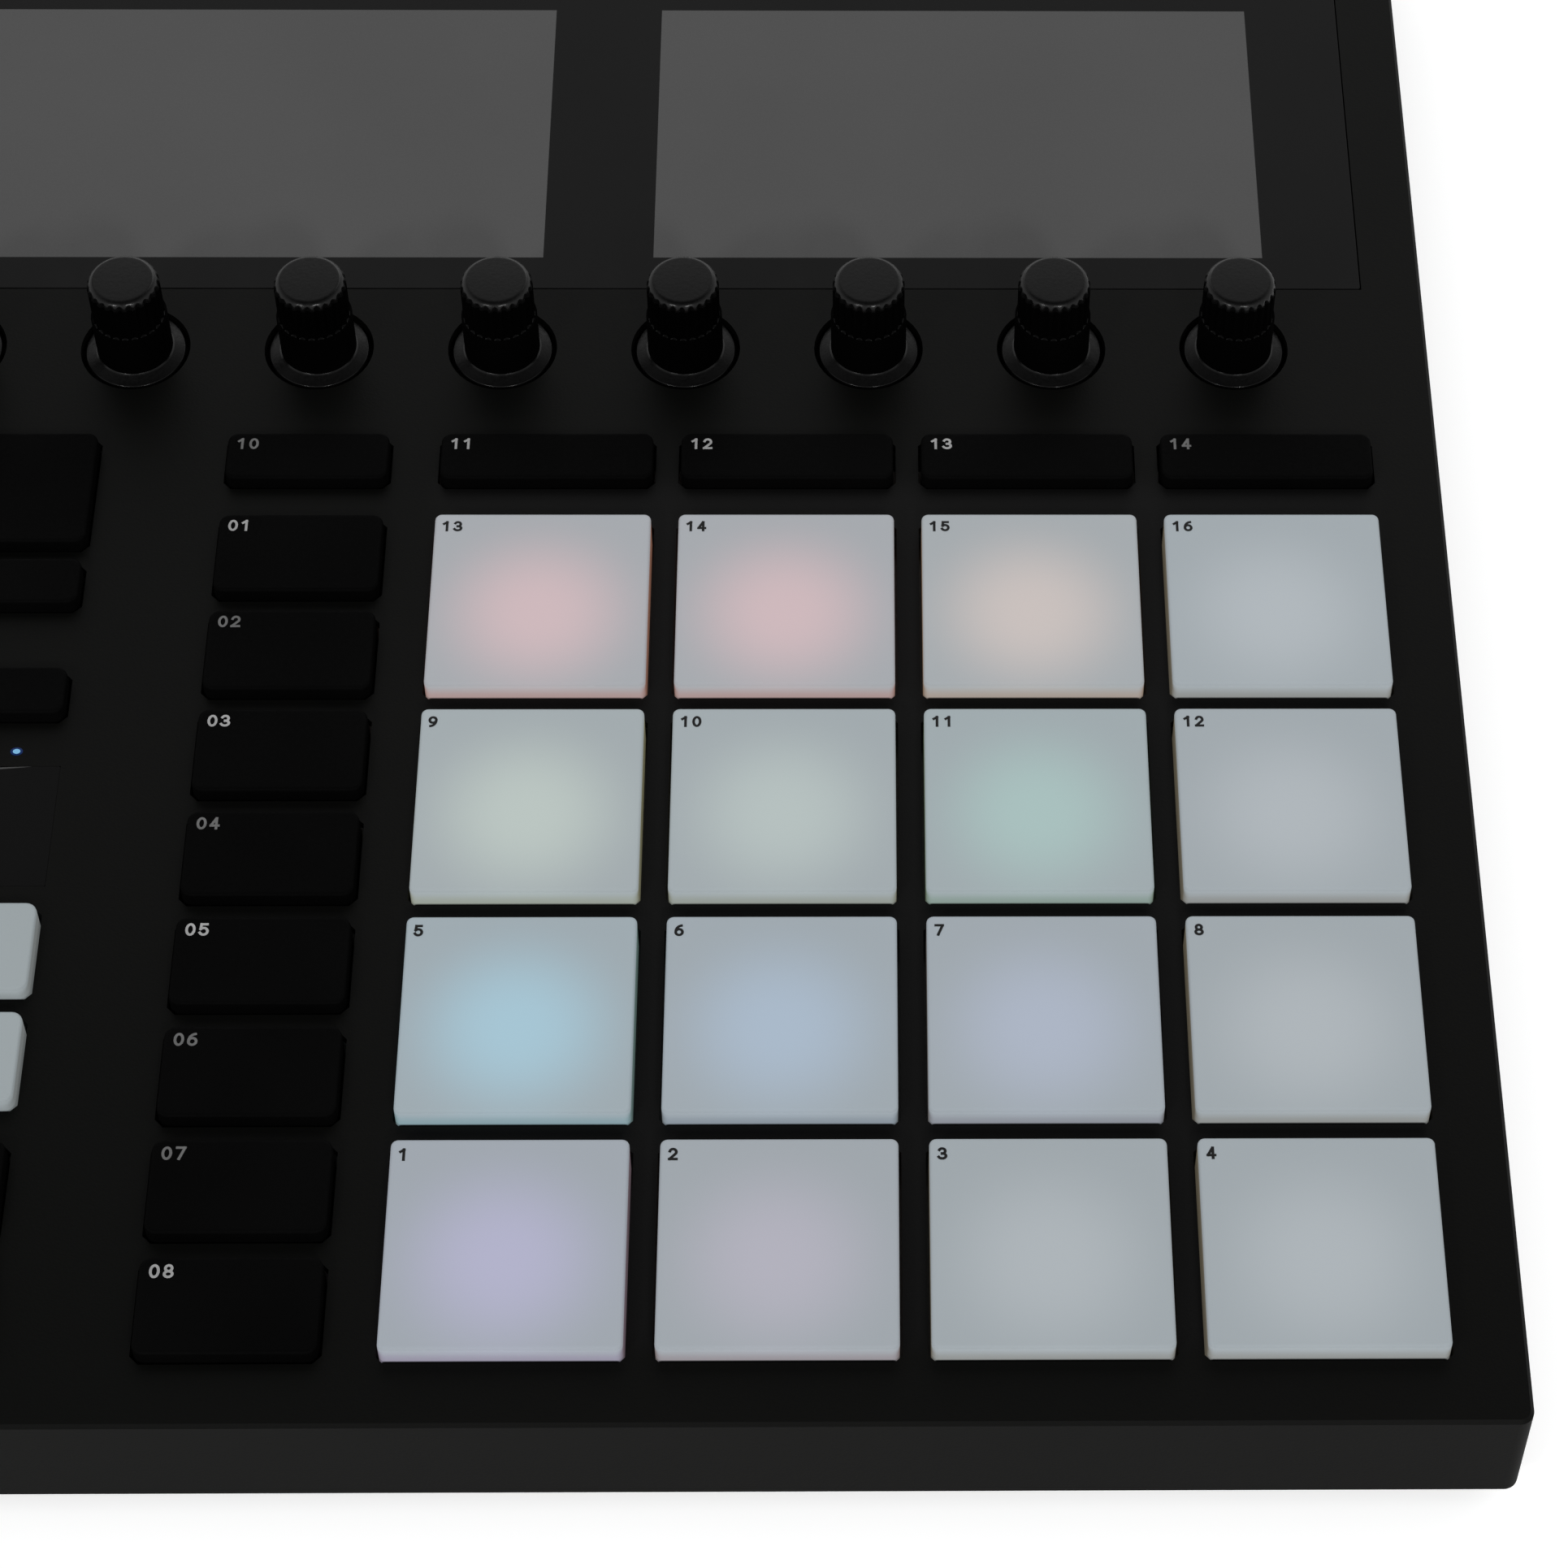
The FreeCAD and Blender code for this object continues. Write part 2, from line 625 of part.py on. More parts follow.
def make_boards():
    """The main board under the keys, and the small board that carries the sockets."""
    body = new_body("circuit_boards")
    block(body, "main", ("case_wide - 2 * board_inset", "board_back - pads_front", "board_thick"),
          ("-half_wide + board_inset", "pads_front", "board_low"))
    drum(body, "post_hole", "post_flats * 2 / sqrt(3) + 2 * fit_gap", "board_thick",
         ("middle_x", "middle_y", "board_low"), cut=True)
    block(body, "sockets", ("io_right - io_left", "socket_deep - 2 * tray_rim", "board_thick"),
          ("io_left", "socket_front", "tray_top"))
    return finished(body)


def make_pad_board():
    """The board with the pads' pressure sensors, on five spacers."""
    body = new_body("pad_board", "pads_left + pads_span / 2", "pads_front + pads_span / 2")
    block(body, "board", ("pads_span", "pads_span", "board_thick"),
          ("-pads_span / 2", "-pads_span / 2", "pad_board_low"))
    reach = "(pads_span - spacer_side) / 2"
    for number, (x, y) in enumerate([(-1, -1), (1, -1), (0, 0), (-1, 1), (1, 1)], 1):
        block(body, f"spacer_{number}", ("spacer_side", "spacer_side", "pad_board_low - board_top"),
              (f"{x} * {reach} - spacer_side / 2", f"{y} * {reach} - spacer_side / 2", "board_top"))
    return finished(body)


def make_key_mat():
    """Silicone contact mats on the main board, one under each group of keys."""
    body = new_body("key_mat")
    mats = [
        ("column_left", "pads_front", "column_left + key_wide", "pads_front + 7 * row_pitch + key_deep"),
        ("column_left", "mode_front", "half_wide - side_margin", "mode_back"),
        ("window_left", "soft_front", "half_wide - side_margin", "soft_front + slim_deep"),
        ("block_left", "soft_front - 5 * side_pitch", "block_left + block_pitch + key_wide",
         "soft_front + slim_deep"),
        ("block_left + 2 * block_pitch", "lock_front", "block_right", "mode_back"),
        ("block_left", "pads_front", "block_right", "perform_front + small_deep"),
    ]
    for number, (left, front, right, back) in enumerate(mats, 1):
        block(body, f"mat_{number}",
              (f"{right} - ({left}) + 2 * fit_gap", f"{back} - ({front}) + 2 * fit_gap", "mat_thick"),
              (f"{left} - fit_gap", f"{front} - fit_gap", "board_top"))
    return finished(body)


def make_window():
    """The glass over both displays, flush with the plate."""
    body = new_body("display_window", "window_x", "window_y")
    block(body, "glass", ("window_wide", "window_deep", "sheet_thick"),
          ("-window_wide / 2", "-window_deep / 2", "plate_under"))
    return finished(body)


def make_bezel():
    """The frame under the plate that carries the glass and holds the two panels."""
    body = new_body("display_bezel", "window_x", "window_y")
    wide, deep = "window_wide + 2 * bezel_lip", "window_deep + 2 * bezel_lip"
    block(body, "frame", (wide, deep, "bezel_high"),
          (f"-({wide}) / 2", f"-({deep}) / 2", "plate_under - bezel_high"))
    wide, deep = "panel_wide + 2 * fit_gap", "panel_deep + 2 * fit_gap"
    opening = block(body, "opening", (wide, deep, "bezel_high"),
                    (f"-panel_pitch / 2 - ({wide}) / 2", f"-({deep}) / 2", "plate_under - bezel_high"),
                    cut=True)
    row_of(body, "openings", [opening], "X_Axis", "panel_pitch", 2)
    return finished(body)


def make_panels():
    body = new_body("display_panels", "window_x", "window_y")
    panel = block(body, "panel", ("panel_wide", "panel_deep", "panel_thick"),
                  ("-panel_pitch / 2 - panel_wide / 2", "-panel_deep / 2", "plate_under - panel_thick"))
    row_of(body, "panels", [panel], "X_Axis", "panel_pitch", 2)
    return finished(body)


def make_touch_strip():
    body = new_body("touch_strip", "block_left + block_span / 2", "strip_front + strip_deep / 2")
    block(body, "face", ("block_span", "strip_deep", "sheet_thick"),
          ("-block_span / 2", "-strip_deep / 2", "plate_under"))
    wide, deep = "block_span + 2 * strip_lip", "strip_deep + 2 * strip_lip"
    block(body, "base", (wide, deep, "strip_base"),
          (f"-({wide}) / 2", f"-({deep}) / 2", "plate_under - strip_base"))
    return finished(body)


def make_encoders():
    """The encoders on the board, one under each knob and one under the dial."""
    body = new_body("knob_encoders")
    middles = [(f"window_x + ({number} - 3.5) * knob_pitch", "knob_row") for number in range(8)]
    for number, (x, y) in enumerate(middles + [("dial_x", "dial_y")], 1):
        block(body, f"case_{number}", ("encoder_side", "encoder_side", "encoder_high"),
              (f"{x} - encoder_side / 2", f"{y} - encoder_side / 2", "board_top"))
        bore = shaft(body, f"bore_{number}", "shaft_wide / 2 + shaft_fit", "board_top + running_gap",
                       "encoder_top + running_gap", cut=True)
        bind(bore, Placement__Base__x=x, Placement__Base__y=y)
    return finished(body)


def key_form(name, wide, deep, rise, corner, lip, base, low, x="0", y="0", rim=None):
    """A cap with eased corners, on a flange that holds it under the plate."""
    body = new_body(name, x, y)
    outline = eased_outline(body, "outline", wide, deep, corner, level=low)
    cap = feature(body, "Pad", "cap", outline, f"plate_top + {rise} - {low}")
    if rim:
        doc.recompute()
        top = value_of(f"plate_top + {rise}")
        ease(body, "rim", cap, edges_at(cap.Shape, top), rim)
    block(body, "flange", (f"{wide} + 2 * {lip}", f"{deep} + 2 * {lip}", base),
          (f"-({wide}) / 2 - {lip}", f"-({deep}) / 2 - {lip}", low))
    return body


def key(name, wide, deep, x="0", y="0"):
    body = key_form(name, wide, deep, "key_rise", "key_corner", "key_lip", "key_base", "key_low", x, y)
    block(body, "stem", ("stem_side", "stem_side", "key_low - stem_low"),
          ("-stem_side / 2", "-stem_side / 2", "stem_low"))
    doc.recompute()
    return body


def key_group(name, wide, deep, x, y, across, along):
    """Keys on one grid, made as one sub-part."""
    body = key(name, wide, deep, x, y)
    second = ("Y_Axis", *along) if along else None
    if across:
        row_of(body, "grid", None, "X_Axis", *across, second, whole=True)
    elif along:
        row_of(body, "grid", None, "Y_Axis", *along, whole=True)
    return body


def make_pads():
    """Sixteen pads, numbered from the front left."""
    form = key_form("pad_form", "pad_side", "pad_side", "pad_rise", "pad_corner", "pad_lip", "pad_base",
                    "pad_low", rim="pad_rim")
    for number in range(16):
        row, column = divmod(number, 4)
        copy_of(form, f"pad_{number + 1}", f"pads_left + pad_side / 2 + {column} * pad_pitch",
                f"pads_front + pad_side / 2 + {row} * pad_pitch")


def make_keys():
    holes = {row[0]: row[1:] for row in KEY_HOLES}
    wide, deep, x, y = holes["mode_holes"][:4]
    form = key("mode_form", wide, deep)
    for number in range(4):
        copy_of(form, f"mode_key_{number + 1}", f"{x} + {number} * pad_pitch", y)
    wide, deep, x, y = holes["column_holes"][:4]
    form = key("column_form", wide, deep)
    for number in range(8):
        copy_of(form, f"column_key_{number + 1}", x, f"{y} + {number} * row_pitch")
    finished(key("fixed_key", *holes["fixed_hole"][:4]))
    finished(key("repeat_key", *holes["repeat_hole"][:4]))
    for name in ("soft", "side", "group", "transport"):
        finished(key_group(name + "_keys", *holes[name + "_holes"]))
    finished(key_group("level_keys", *holes["level_holes"]))
    small = doc.addObject("Part::Compound", "perform_keys")
    small.Label = "perform_keys"
    row = key_group("perform_row", *holes["perform_holes"])
    small.Links = [row, key("lock_key", *holes["lock_hole"][:4])]
    finished(small)


def ring_outline(body, name, radii, sides, level):
    """A closed outline about the origin, whose points take the radii by turns."""
    places = []
    for number in range(sides):
        reach = f"({radii[number % len(radii)]})"
        angle = 360 * number / sides
        places.append((f"{reach} * cos({angle}deg)", f"{reach} * sin({angle}deg)"))
    return polygon(body, name, places, level=level)


def shaft(body, name, radius, low, high, cut=False):
    """A many-sided shaft, or the bore of one."""
    kind = "SubtractivePrism" if cut else "AdditivePrism"
    made = body.newObject(f"PartDesign::{kind}", f"{body.Name}_{name}")
    made.Refine = False
    made.Polygon = SHAFT_SIDES
    bind(made, Circumradius=radius, Height=f"({high}) - ({low})", Placement__Base__z=low)
    return made


def make_knobs():
    """Eight knobs on their shafts: flared skirt, smooth neck and a fluted cap with a bevelled top."""
    body = new_body("knob_form")
    outline = ring_outline(body, "foot", ["skirt_wide / 2"], KNOB_SIDES, "knob_low")
    disc = feature(body, "Pad", "disc", outline, "skirt_edge + skirt_high")
    doc.recompute()
    top = edges_at(disc.Shape, value_of("knob_low + skirt_edge + skirt_high"))
    skirt = ease(body, "skirt", disc, top, "(skirt_wide - neck_wide) / 2")
    skirt.ChamferType = "Two distances"
    skirt.FlipDirection = True
    bind(skirt, Size2="skirt_high")
    outline = ring_outline(body, "waist", ["neck_wide / 2"], KNOB_SIDES, "knob_low + skirt_edge")
    feature(body, "Pad", "neck", outline, "plate_top + neck_high - knob_low - skirt_edge")
    ridges = ["cap_wide / 2", "cap_wide / 2 - flute_deep"]
    outline = ring_outline(body, "flutes", ridges, 2 * FLUTES, "plate_top + neck_high")
    cap = feature(body, "Pad", "cap", outline, "knob_rise - neck_high")
    doc.recompute()
    ease(body, "bevel", cap, edges_at(cap.Shape, value_of("knob_top")), "cap_bevel")
    shaft(body, "shaft", "shaft_wide / 2", "board_top + 2 * running_gap", "knob_low")
    for number in range(8):
        copy_of(body, f"knob_{number + 1}", f"window_x + ({number} - 3.5) * knob_pitch", "knob_row")


def make_dial():
    """The large encoder: a stem that is pushed down, and a dial that turns on it."""
    stem = new_body("dial_stem", "dial_x", "dial_y")
    low = "board_top + 2 * running_gap + dial_travel"
    shaft(stem, "stem", "shaft_wide / 2", low, "dial_low + shaft_depth")
    finished(stem)
    body = new_body("dial", "dial_x", "dial_y")
    outline = ring_outline(body, "foot", ["dial_wide / 2"], DIAL_SIDES, "dial_low")
    wall = feature(body, "Pad", "wall", outline, "plate_top + dial_rise - dial_low")
    doc.recompute()
    ease(body, "bevel", wall, edges_at(wall.Shape, value_of("plate_top + dial_rise")), "dial_bevel")
    shaft(body, "bore", "shaft_wide / 2 + shaft_fit", "dial_low",
            "dial_low + shaft_depth + running_gap", cut=True)
    finished(body)


def make_sockets():
    """Sockets on the small board behind the rear wall."""
    body = new_body("rear_sockets")
    base = "socket_middle - ({0}) / 2"
    for number in range(2):
        x = f"din_x + {number} * din_pitch"
        block(body, f"din_{number + 1}", ("din_body", "socket_deep", "din_body"),
              (f"{x} - din_body / 2", "socket_front", base.format("din_body")))
        drum(body, f"din_bore_{number + 1}", "din_bore", "din_recess",
             (x, "socket_back - din_recess", "socket_middle"), cut=True, along_y=True)
    block(body, "usb", ("usb_wide", "socket_deep", "socket_middle + usb_high / 2 - io_top"),
          ("usb_x - usb_wide / 2", "socket_front", "io_top"))
    block(body, "usb_mouth", ("usb_mouth_wide", "usb_recess", "usb_mouth_high"),
          ("usb_x - usb_mouth_wide / 2", "socket_back - usb_recess", base.format("usb_mouth_high")),
          cut=True)
    block(body, "usb_tongue", ("usb_tongue_wide", "usb_tongue_long", "usb_tongue_high"),
          ("usb_x - usb_tongue_wide / 2", "socket_back - usb_recess", base.format("usb_tongue_high")))
    block(body, "inlet", ("inlet_body", "socket_deep", "socket_middle + inlet_body / 2 - io_top"),
          ("inlet_x - inlet_body / 2", "socket_front", "io_top"))
    drum(body, "inlet_bore", "inlet_bore", "inlet_recess",
         ("inlet_x", "socket_back - inlet_recess", "socket_middle"), cut=True, along_y=True)
    drum(body, "inlet_pin", "inlet_pin", "inlet_pin_long",
         ("inlet_x", "socket_back - inlet_recess", "socket_middle"), along_y=True)
    block(body, "switch", ("inlet_body", "socket_deep - 2 * button_travel - 4 * running_gap",
                           "socket_middle + inlet_body / 2 - io_top"),
          ("button_x - inlet_body / 2", "socket_front", "io_top"))
    return finished(body)


def make_power_button():
    body = new_body("power_button")
    drum(body, "cap", "button_wide", "sheet_thick + button_travel + running_gap",
         ("button_x", "socket_back - button_travel - running_gap", "socket_middle"), along_y=True)
    return finished(body)


def check_objects():
    """Stops with the names of what failed."""
    doc.recompute()
    bad = [item.Name for item in doc.Objects if set(item.State) & {"Invalid", "Error"}]
    if bad:
        raise RuntimeError("failed objects: " + ", ".join(bad))
    for name in node_names:
        shape = doc.getObject(name).Shape
        if shape.isNull() or not shape.isValid() or not shape.Solids:
            raise RuntimeError("bad shape: " + name)


def write_parts():
    os.makedirs("parts", exist_ok=True)
    for name in node_names:
        item = doc.getObject(name)
        item.Shape.exportStep(os.path.join("parts", item.Label + ".step"))
    print(len(node_names), "parts,", sum(len(doc.getObject(name).Shape.Solids) for name in node_names),
          "solids")


make_top_cover()
make_base_tray()
make_feet()
make_screws()
make_boards()
make_pad_board()
make_key_mat()
make_window()
make_bezel()
make_panels()
make_touch_strip()
make_encoders()
make_sockets()
make_power_button()
make_pads()
make_keys()
make_knobs()
make_dial()
check_objects()
write_parts()
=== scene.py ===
# Desktop pad controller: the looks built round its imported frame.
# Metres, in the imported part's frame: X to the right, Y to the back, Z up. Sizes below are in millimetres.
import math

import bmesh
import bpy
from mathutils import Matrix, Vector


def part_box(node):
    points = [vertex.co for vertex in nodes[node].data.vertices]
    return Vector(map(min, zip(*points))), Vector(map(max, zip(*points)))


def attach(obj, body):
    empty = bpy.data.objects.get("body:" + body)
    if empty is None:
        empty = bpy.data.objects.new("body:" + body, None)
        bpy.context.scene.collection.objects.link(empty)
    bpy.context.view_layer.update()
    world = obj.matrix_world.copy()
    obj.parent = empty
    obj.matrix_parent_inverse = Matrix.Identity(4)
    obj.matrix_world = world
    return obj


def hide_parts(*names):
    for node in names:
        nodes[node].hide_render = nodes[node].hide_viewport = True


MM = 0.001
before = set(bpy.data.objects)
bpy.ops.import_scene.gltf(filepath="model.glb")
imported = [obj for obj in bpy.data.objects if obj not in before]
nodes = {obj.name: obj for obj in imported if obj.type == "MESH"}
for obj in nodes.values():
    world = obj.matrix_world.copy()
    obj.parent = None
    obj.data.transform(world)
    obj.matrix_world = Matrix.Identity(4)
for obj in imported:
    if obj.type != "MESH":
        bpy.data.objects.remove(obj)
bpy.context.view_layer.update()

# Camera, at the photograph's viewing angle
SENSOR = 36.0
CAMERA_LENS = 101.22
CAMERA_PLACE = (72.17, -416.46, 534.22)
CAMERA_TURN = (35.83, -0.703, -0.574)  # degrees about X, Y and Z
CAMERA_SHIFT = -0.0907
CAMERA_NEAR = 10.0

# Studio
AMBIENT = 0.62  # light from the room
WHITE_BELOW = 0.45  # height in the dome of what mirrors see, where the white walls end
DIM_ABOVE = 0.92  # and where the dim ceiling starts
CEILING = 0.05
FLOOR_HALF = 6.0  # metres
FLOOR_TONE = 0.85
FLOOR_ROUGHNESS = 0.9
FLOOR_LIFT = 0.42  # what takes the floor up to white, for what sees it
LAMPS = [  # name, place and aim in metres, side in metres, power in watts
    ("left_softbox", (-0.65, -1.1, 0.9), (0.0, 0.0, 0.0), 0.2, 4.8),
    ("right_softbox", (0.42, -1.2, 0.9), (0.0, 0.0, 0.0), 0.2, 5.8),
    ("back_softbox", (0.1, 1.3, 1.0), (0.0, 0.05, 0.0), 1.5, 7.0),
]

# Surfaces that the materials share
GRAIN_HIGH = 0.2
GRAIN_DETAIL = 2.0
CLOUD_DETAIL = 3.0
CLOUD_SCALE = 20.0
CLOUD_FROM, CLOUD_TO = 0.35, 0.65  # the part of a noise's range that a tone runs over
MOULDED_GRAIN, MOULDED_CLOUD = 1800.0, 30.0
MOULDED_SPREAD = 0.05  # how far roughness goes up and down
METAL_SPREAD = 0.06
INK_DARK, INK_LIGHT = 0.93, 1.05  # the thinnest and thickest ink, as shares of its tone
PLATE_ROUGHNESS, WALL_ROUGHNESS = 0.45, 0.62
WALL_UP_TO, PLATE_FROM = 0.2, 0.9  # how level the surface is where it counts as wall and as plate

# Levels that the pieces share
PLATE_TOP = 24.5
SHEET = 1.5
PRINT_LIFT = 0.03  # printed marks above the surface that they are on
PRINT_LAYER = PRINT_LIFT / 4  # between strokes that cross
SEAT = 0.05  # between a fitted metal piece and the solid round it
TOUCHING = 1e-4  # points nearer than this are one
NEAR = 0.01  # what lies this near a level belongs to it
LEVEL = 0.999  # how far up the normal of a level face points

# Round and soft edges
CORNER_STEPS = 5
EDGE_STEPS = 4
EDGE_INSET = 0.4  # the flat rim inside a soft edge, as a share of the edge
# Degrees past which an edge stays sharp
PIECE_SHARP = 40
TURNED_SHARP = 32
GLASS_SHARP = 20
STRIP_SHARP = 8

# Plate round the pads, painted lighter: painted light standing in for the pads' glow on it
PAINTED_PAD_GLOW_MIDDLE = (79.8, -66.0, PLATE_TOP)
PAINTED_PAD_GLOW_HALF = (73.0, 76.0, 0.0)
PAINTED_PAD_GLOW_EDGE = 6.0

# Pads
PAD_SIDE = 31.9
PAD_CORNER = 1.0
PAD_EDGE = 0.5
PAD_NUMBER = 1.95  # height of the numbers
PAD_NUMBER_BOLD = 0.2  # thickness of their strokes, as a share of the height
PAD_PRINT_X = 1.1
PAD_PRINT_Y = 1.5
SILICONE_TONE = (162, 170, 175)
LAMP_COLOURS = {  # what shows over a pad's lamp
    "clear": (177, 184, 189), "rose": (207, 185, 189), "peach": (202, 193, 190), "straw": (188, 199, 195),
    "lime": (183, 194, 193), "mint": (170, 194, 192), "sky": (168, 200, 215), "blue": (172, 188, 205),
    "lilac": (175, 184, 200), "violet": (182, 182, 207), "pink": (182, 181, 193),
}
PAD_LAMPS = [
    "violet", "pink", "clear", "clear", "sky", "blue", "lilac", "clear",
    "straw", "lime", "mint", "clear", "rose", "rose", "peach", "clear",
]
LIGHT_LEVEL = 1.0  # what the lamps and the room give a level surface
GLOW_SHARE = 0.4  # light from inside through the top, as a share of the pad's tone
GLOW_WALL = 0.8  # and through the walls, where the room's light is weaker
GLOW_REACH = 21.0
LEVEL_FROM = 0.6  # how level a surface is where it counts as the top
GAP_DARK_AT = 1.12  # depth where the painted shade in the gap is fully dark, as a share of the wall's height above the plate
# painted shade, near black, in the gap round a pad
GAP_SHADE = (0.002, 0.002, 0.002, 1.0)
FRONT_LIGHT = 0.1  # how much more light the front row has
FRONT_LIGHT_AT = 125.0  # in full this far before the middle of the case
GLOW_FORWARD = 2.5  # how far the brightest place lies before the middle
SIDE_SPEED = 2.1  # how much sooner than the front wall the side walls take their painted shade
SIDE_SHADE_TONE = (102, 95, 80)  # painted shade at the foot of the side walls
# painted shade at the foot of the front wall
FRONT_SHADE_TONE = (148, 151, 150)
RIM_TINT, SIDE_TINT, FRONT_TINT = 0.15, 1.1, 0.9  # how far the lamp's colour reaches them

# Keys
KEY_CORNER = 1.6
KEY_EDGE = 0.45
KEY_LIP = 1.2
KEY_WIDE = 24.2
KEY_FOOT = 21.5
KEY_NUMBER = 2.1
KEY_NUMBER_BOLD = 0.18
KEY_PRINT_X = 1.4
KEY_PRINT_Y = 1.15
BRIGHT_KEYS = (1, 3, 5, 8, 11, 12, 13)  # the keys, by their figures, whose print is brighter
KEY_BANKS = [  # columns, rows and depth of each key
    ("soft_keys", 8, 1, 8.8), ("side_keys", 2, 6, 8.8), ("transport_keys", 4, 2, 14.4),
    ("level_keys", 1, 3, 8.2),
]
GROUP_KEY_DEEP = 14.6
GROUP_TONES = [  # of the body, over the lamp, and the painted shade at the foot of the sides and of the front
    (150, 158, 161), (158, 166, 169), (120, 124, 124), (138, 145, 147),
]
GROUP_GLOW_REACH = 80.0
PERFORM_KEY_DEEP = 8.2

# Figures, drawn as strokes in a box that is 1 high
FIGURE_WIDE = 0.68
FIGURE_STEP = 0.88
MITRE_LEAST = 0.5  # keeps the corners of a sharp turn short

# Knobs: radii and heights above the plate
FLUTES = 24
FLUTE_STEPS = 6  # steps of the turned wall for each flute
FLUTE_DEEP = 0.36
FLUTE_LOW, FLUTE_HIGH = 7.9, 15.5
FLUTE_SHARE = 0.1  # more than 0 makes the flutes wider than the ridges between them
FLUTE_ROUND = 0.6  # less than 1 makes their floors flatter and their sides steeper
KNOB_RADIUS = 5.45
KNOB_PROFILE = [  # radius and height above the plate, up to the fluted part
    (0.0, -0.9), (7.55, -0.9), (7.55, -0.42), (7.52, -0.35), (7.45, -0.3), (5.97, 0.32), (5.75, 0.54),
    (5.75, 0.6), (5.75, 7.7), (5.7, 7.82), (5.6, 7.86), (5.45, 7.86), (5.45, 8.0),
]
KNOB_TOP_AT = 15.58
KNOB_DOME = 0.02  # how much higher the middle of the top is
KNOB_ROUND_WIDE = 1.25  # the rounding of the top edge
KNOB_ROUND_HIGH = 1.47
KNOB_FLAT = 0.06  # how far below the top its dull face ends
FLUTE_END_LOW, FLUTE_END_HIGH, FLUTE_END_RADIUS = 7.84, 7.96, 5.4  # the lower ends of the flutes, in the top's lighter finish as painted glints
SKIRT_TOP, SKIRT_GLOSS = 0.54, 0.33  # the skirt's glossy inner ring
RIM_LOW, RIM_HIGH = -0.34, -0.31  # and its glossy outer edge

# Dial: how far in from its radius and down from its top the upper edge runs
DIAL_RIM = [
    (0.0, 1.3), (0.15, 0.75), (0.6, 0.2), (1.2, 0.0), (2.0, 0.0), (2.6, 0.15), (4.5, 0.45), (9.0, 0.7),
]
DIAL_HOLLOW = 0.8
DIAL_FOOT = 0.4
DIAL_FLUTES = 60
DIAL_FLUTE_STEPS = 4
DIAL_FLUTE_DEEP = 0.25
DIAL_FLUTES_FROM, DIAL_FLUTES_TO = 0.3, 0.7  # up from the foot, down from the top

# Displays
LIT_WIDE = 95.04
LIT_DEEP = 54.4
LIT_FORWARD = 0.9  # how far the lit areas lie before the middle of the glass
PANEL_PITCH = 112.2
GLASS_SPREAD = 0.12  # the glass all but fills its opening
GLASS_CORNER = 0.4
GLASS_SOFT = 0.1

# Rear sockets
SOCKET_HIGH = 14.4  # height of their middles
SOCKET_BACK = 149.0
ROUND_PLACES = (60.15, 84.15)
ROUND_FLOOR = 142.5
ROUND_SLEEVE = (6.78, 6.45, 6.3, 0.08)  # outer and inner radius, length, softness of its end
ROUND_CONTACT = (0.95, 0.6, 0.8, 0.1)
ROUND_CONTACTS = 5
CONTACT_RING = 3.75
CONTACT_STEP = 45  # degrees
CONTACT_SINK = 0.1
SQUARE_PLACE = 38.15
SQUARE_MOUTH = (8.5, 7.8)
SQUARE_FLOOR = 140.4
SHELL_THICK = 0.25
TONGUE_CONTACT = (1.0, 3.5, 0.12)  # wide, long and thick
TONGUE_PLACES = (1.25, 1.6)  # off the middle, across and up
INLET_PLACE = 16.15
INLET_PIN = [(0.0, 0.0), (1.05, 0.0), (1.05, 3.9), (0.85, 4.1), (0.5, 4.25), (0.0, 4.3)]
INLET_SLEEVE = (3.18, 2.95, 7.9, 0.08)
BUTTON_RIM = [(0.0, 0.5), (0.15, 0.15), (0.5, 0.0), (1.0, 0.0)]  # in from the radius, down from the end
BUTTON_HOLLOW = 0.25

# Touch strip
STRIP_LIP = 1.5  # the flange under the plate
STRIP_CORNER = 0.3
STRIP_EDGE = 0.05
STRIP_SPREAD = 0.27  # the face all but fills its opening
STRIP_SLOPE_DEEP = 1.5  # its back edge slopes down, towards the right less and less
STRIP_SLOPE_DROP = 0.34
STRIP_SLOPE_BAND = 0.5  # what lies this near its top slopes with it
STRIP_SLOPE_FACES = 1.0  # faces with their middle this near the back are cut into triangles
STRIP_SLOPE_SHOWS = 0.05  # how far back the normal of a sloping face points
STRIP_SLOPE_FULL = -60.0  # X up to which the slope has its full width
STRIP_SLOPE_END = -45.5  # and where it ends
STATUS_PLACE = (-47.85, -42.6, PLATE_TOP)
STATUS_PROFILE = [(0.0, -0.2), (0.75, -0.2), (0.75, 0.0), (0.45, 0.03), (0.2, 0.05), (0.0, 0.06)]
STATUS_LENS = 0.45  # radius of the lit middle
STATUS_STRETCH = (1.2, 0.95, 1.0)
STATUS_STEPS = 24


def linear(level):
    """A colour value of 0 to 255 as a linear one."""
    share = level / 255
    return share / 12.92 if share <= 0.04045 else ((share + 0.055) / 1.055) ** 2.4


def tone(red, green=None, blue=None):
    """A colour from three values of 0 to 255, or a grey from one."""
    green = red if green is None else green
    blue = red if blue is None else blue
    return (linear(red), linear(green), linear(blue), 1.0)


# Links between shader nodes

def feed(tree, value, socket):
    """Links an output to a socket, or sets the socket to a plain value."""
    if isinstance(value, bpy.types.NodeSocket):
        tree.links.new(value, socket)
    else:
        socket.default_value = value


def maths(tree, operation, first, second):
    """The result of a calculation with two numbers."""
    node = tree.nodes.new("ShaderNodeMath")
    node.operation = operation
    feed(tree, first, node.inputs[0])
    feed(tree, second, node.inputs[1])
    return node.outputs[0]


def vector_maths(tree, operation, *vectors):
    """The node of a calculation with vectors."""
    node = tree.nodes.new("ShaderNodeVectorMath")
    node.operation = operation
    for vector, socket in zip(vectors, node.inputs):
        tree.links.new(vector, socket)
    return node


def parts_of(tree, vector):
    """The X, Y and Z of a vector."""
    node = tree.nodes.new("ShaderNodeSeparateXYZ")
    tree.links.new(vector, node.inputs["Vector"])
    return node.outputs


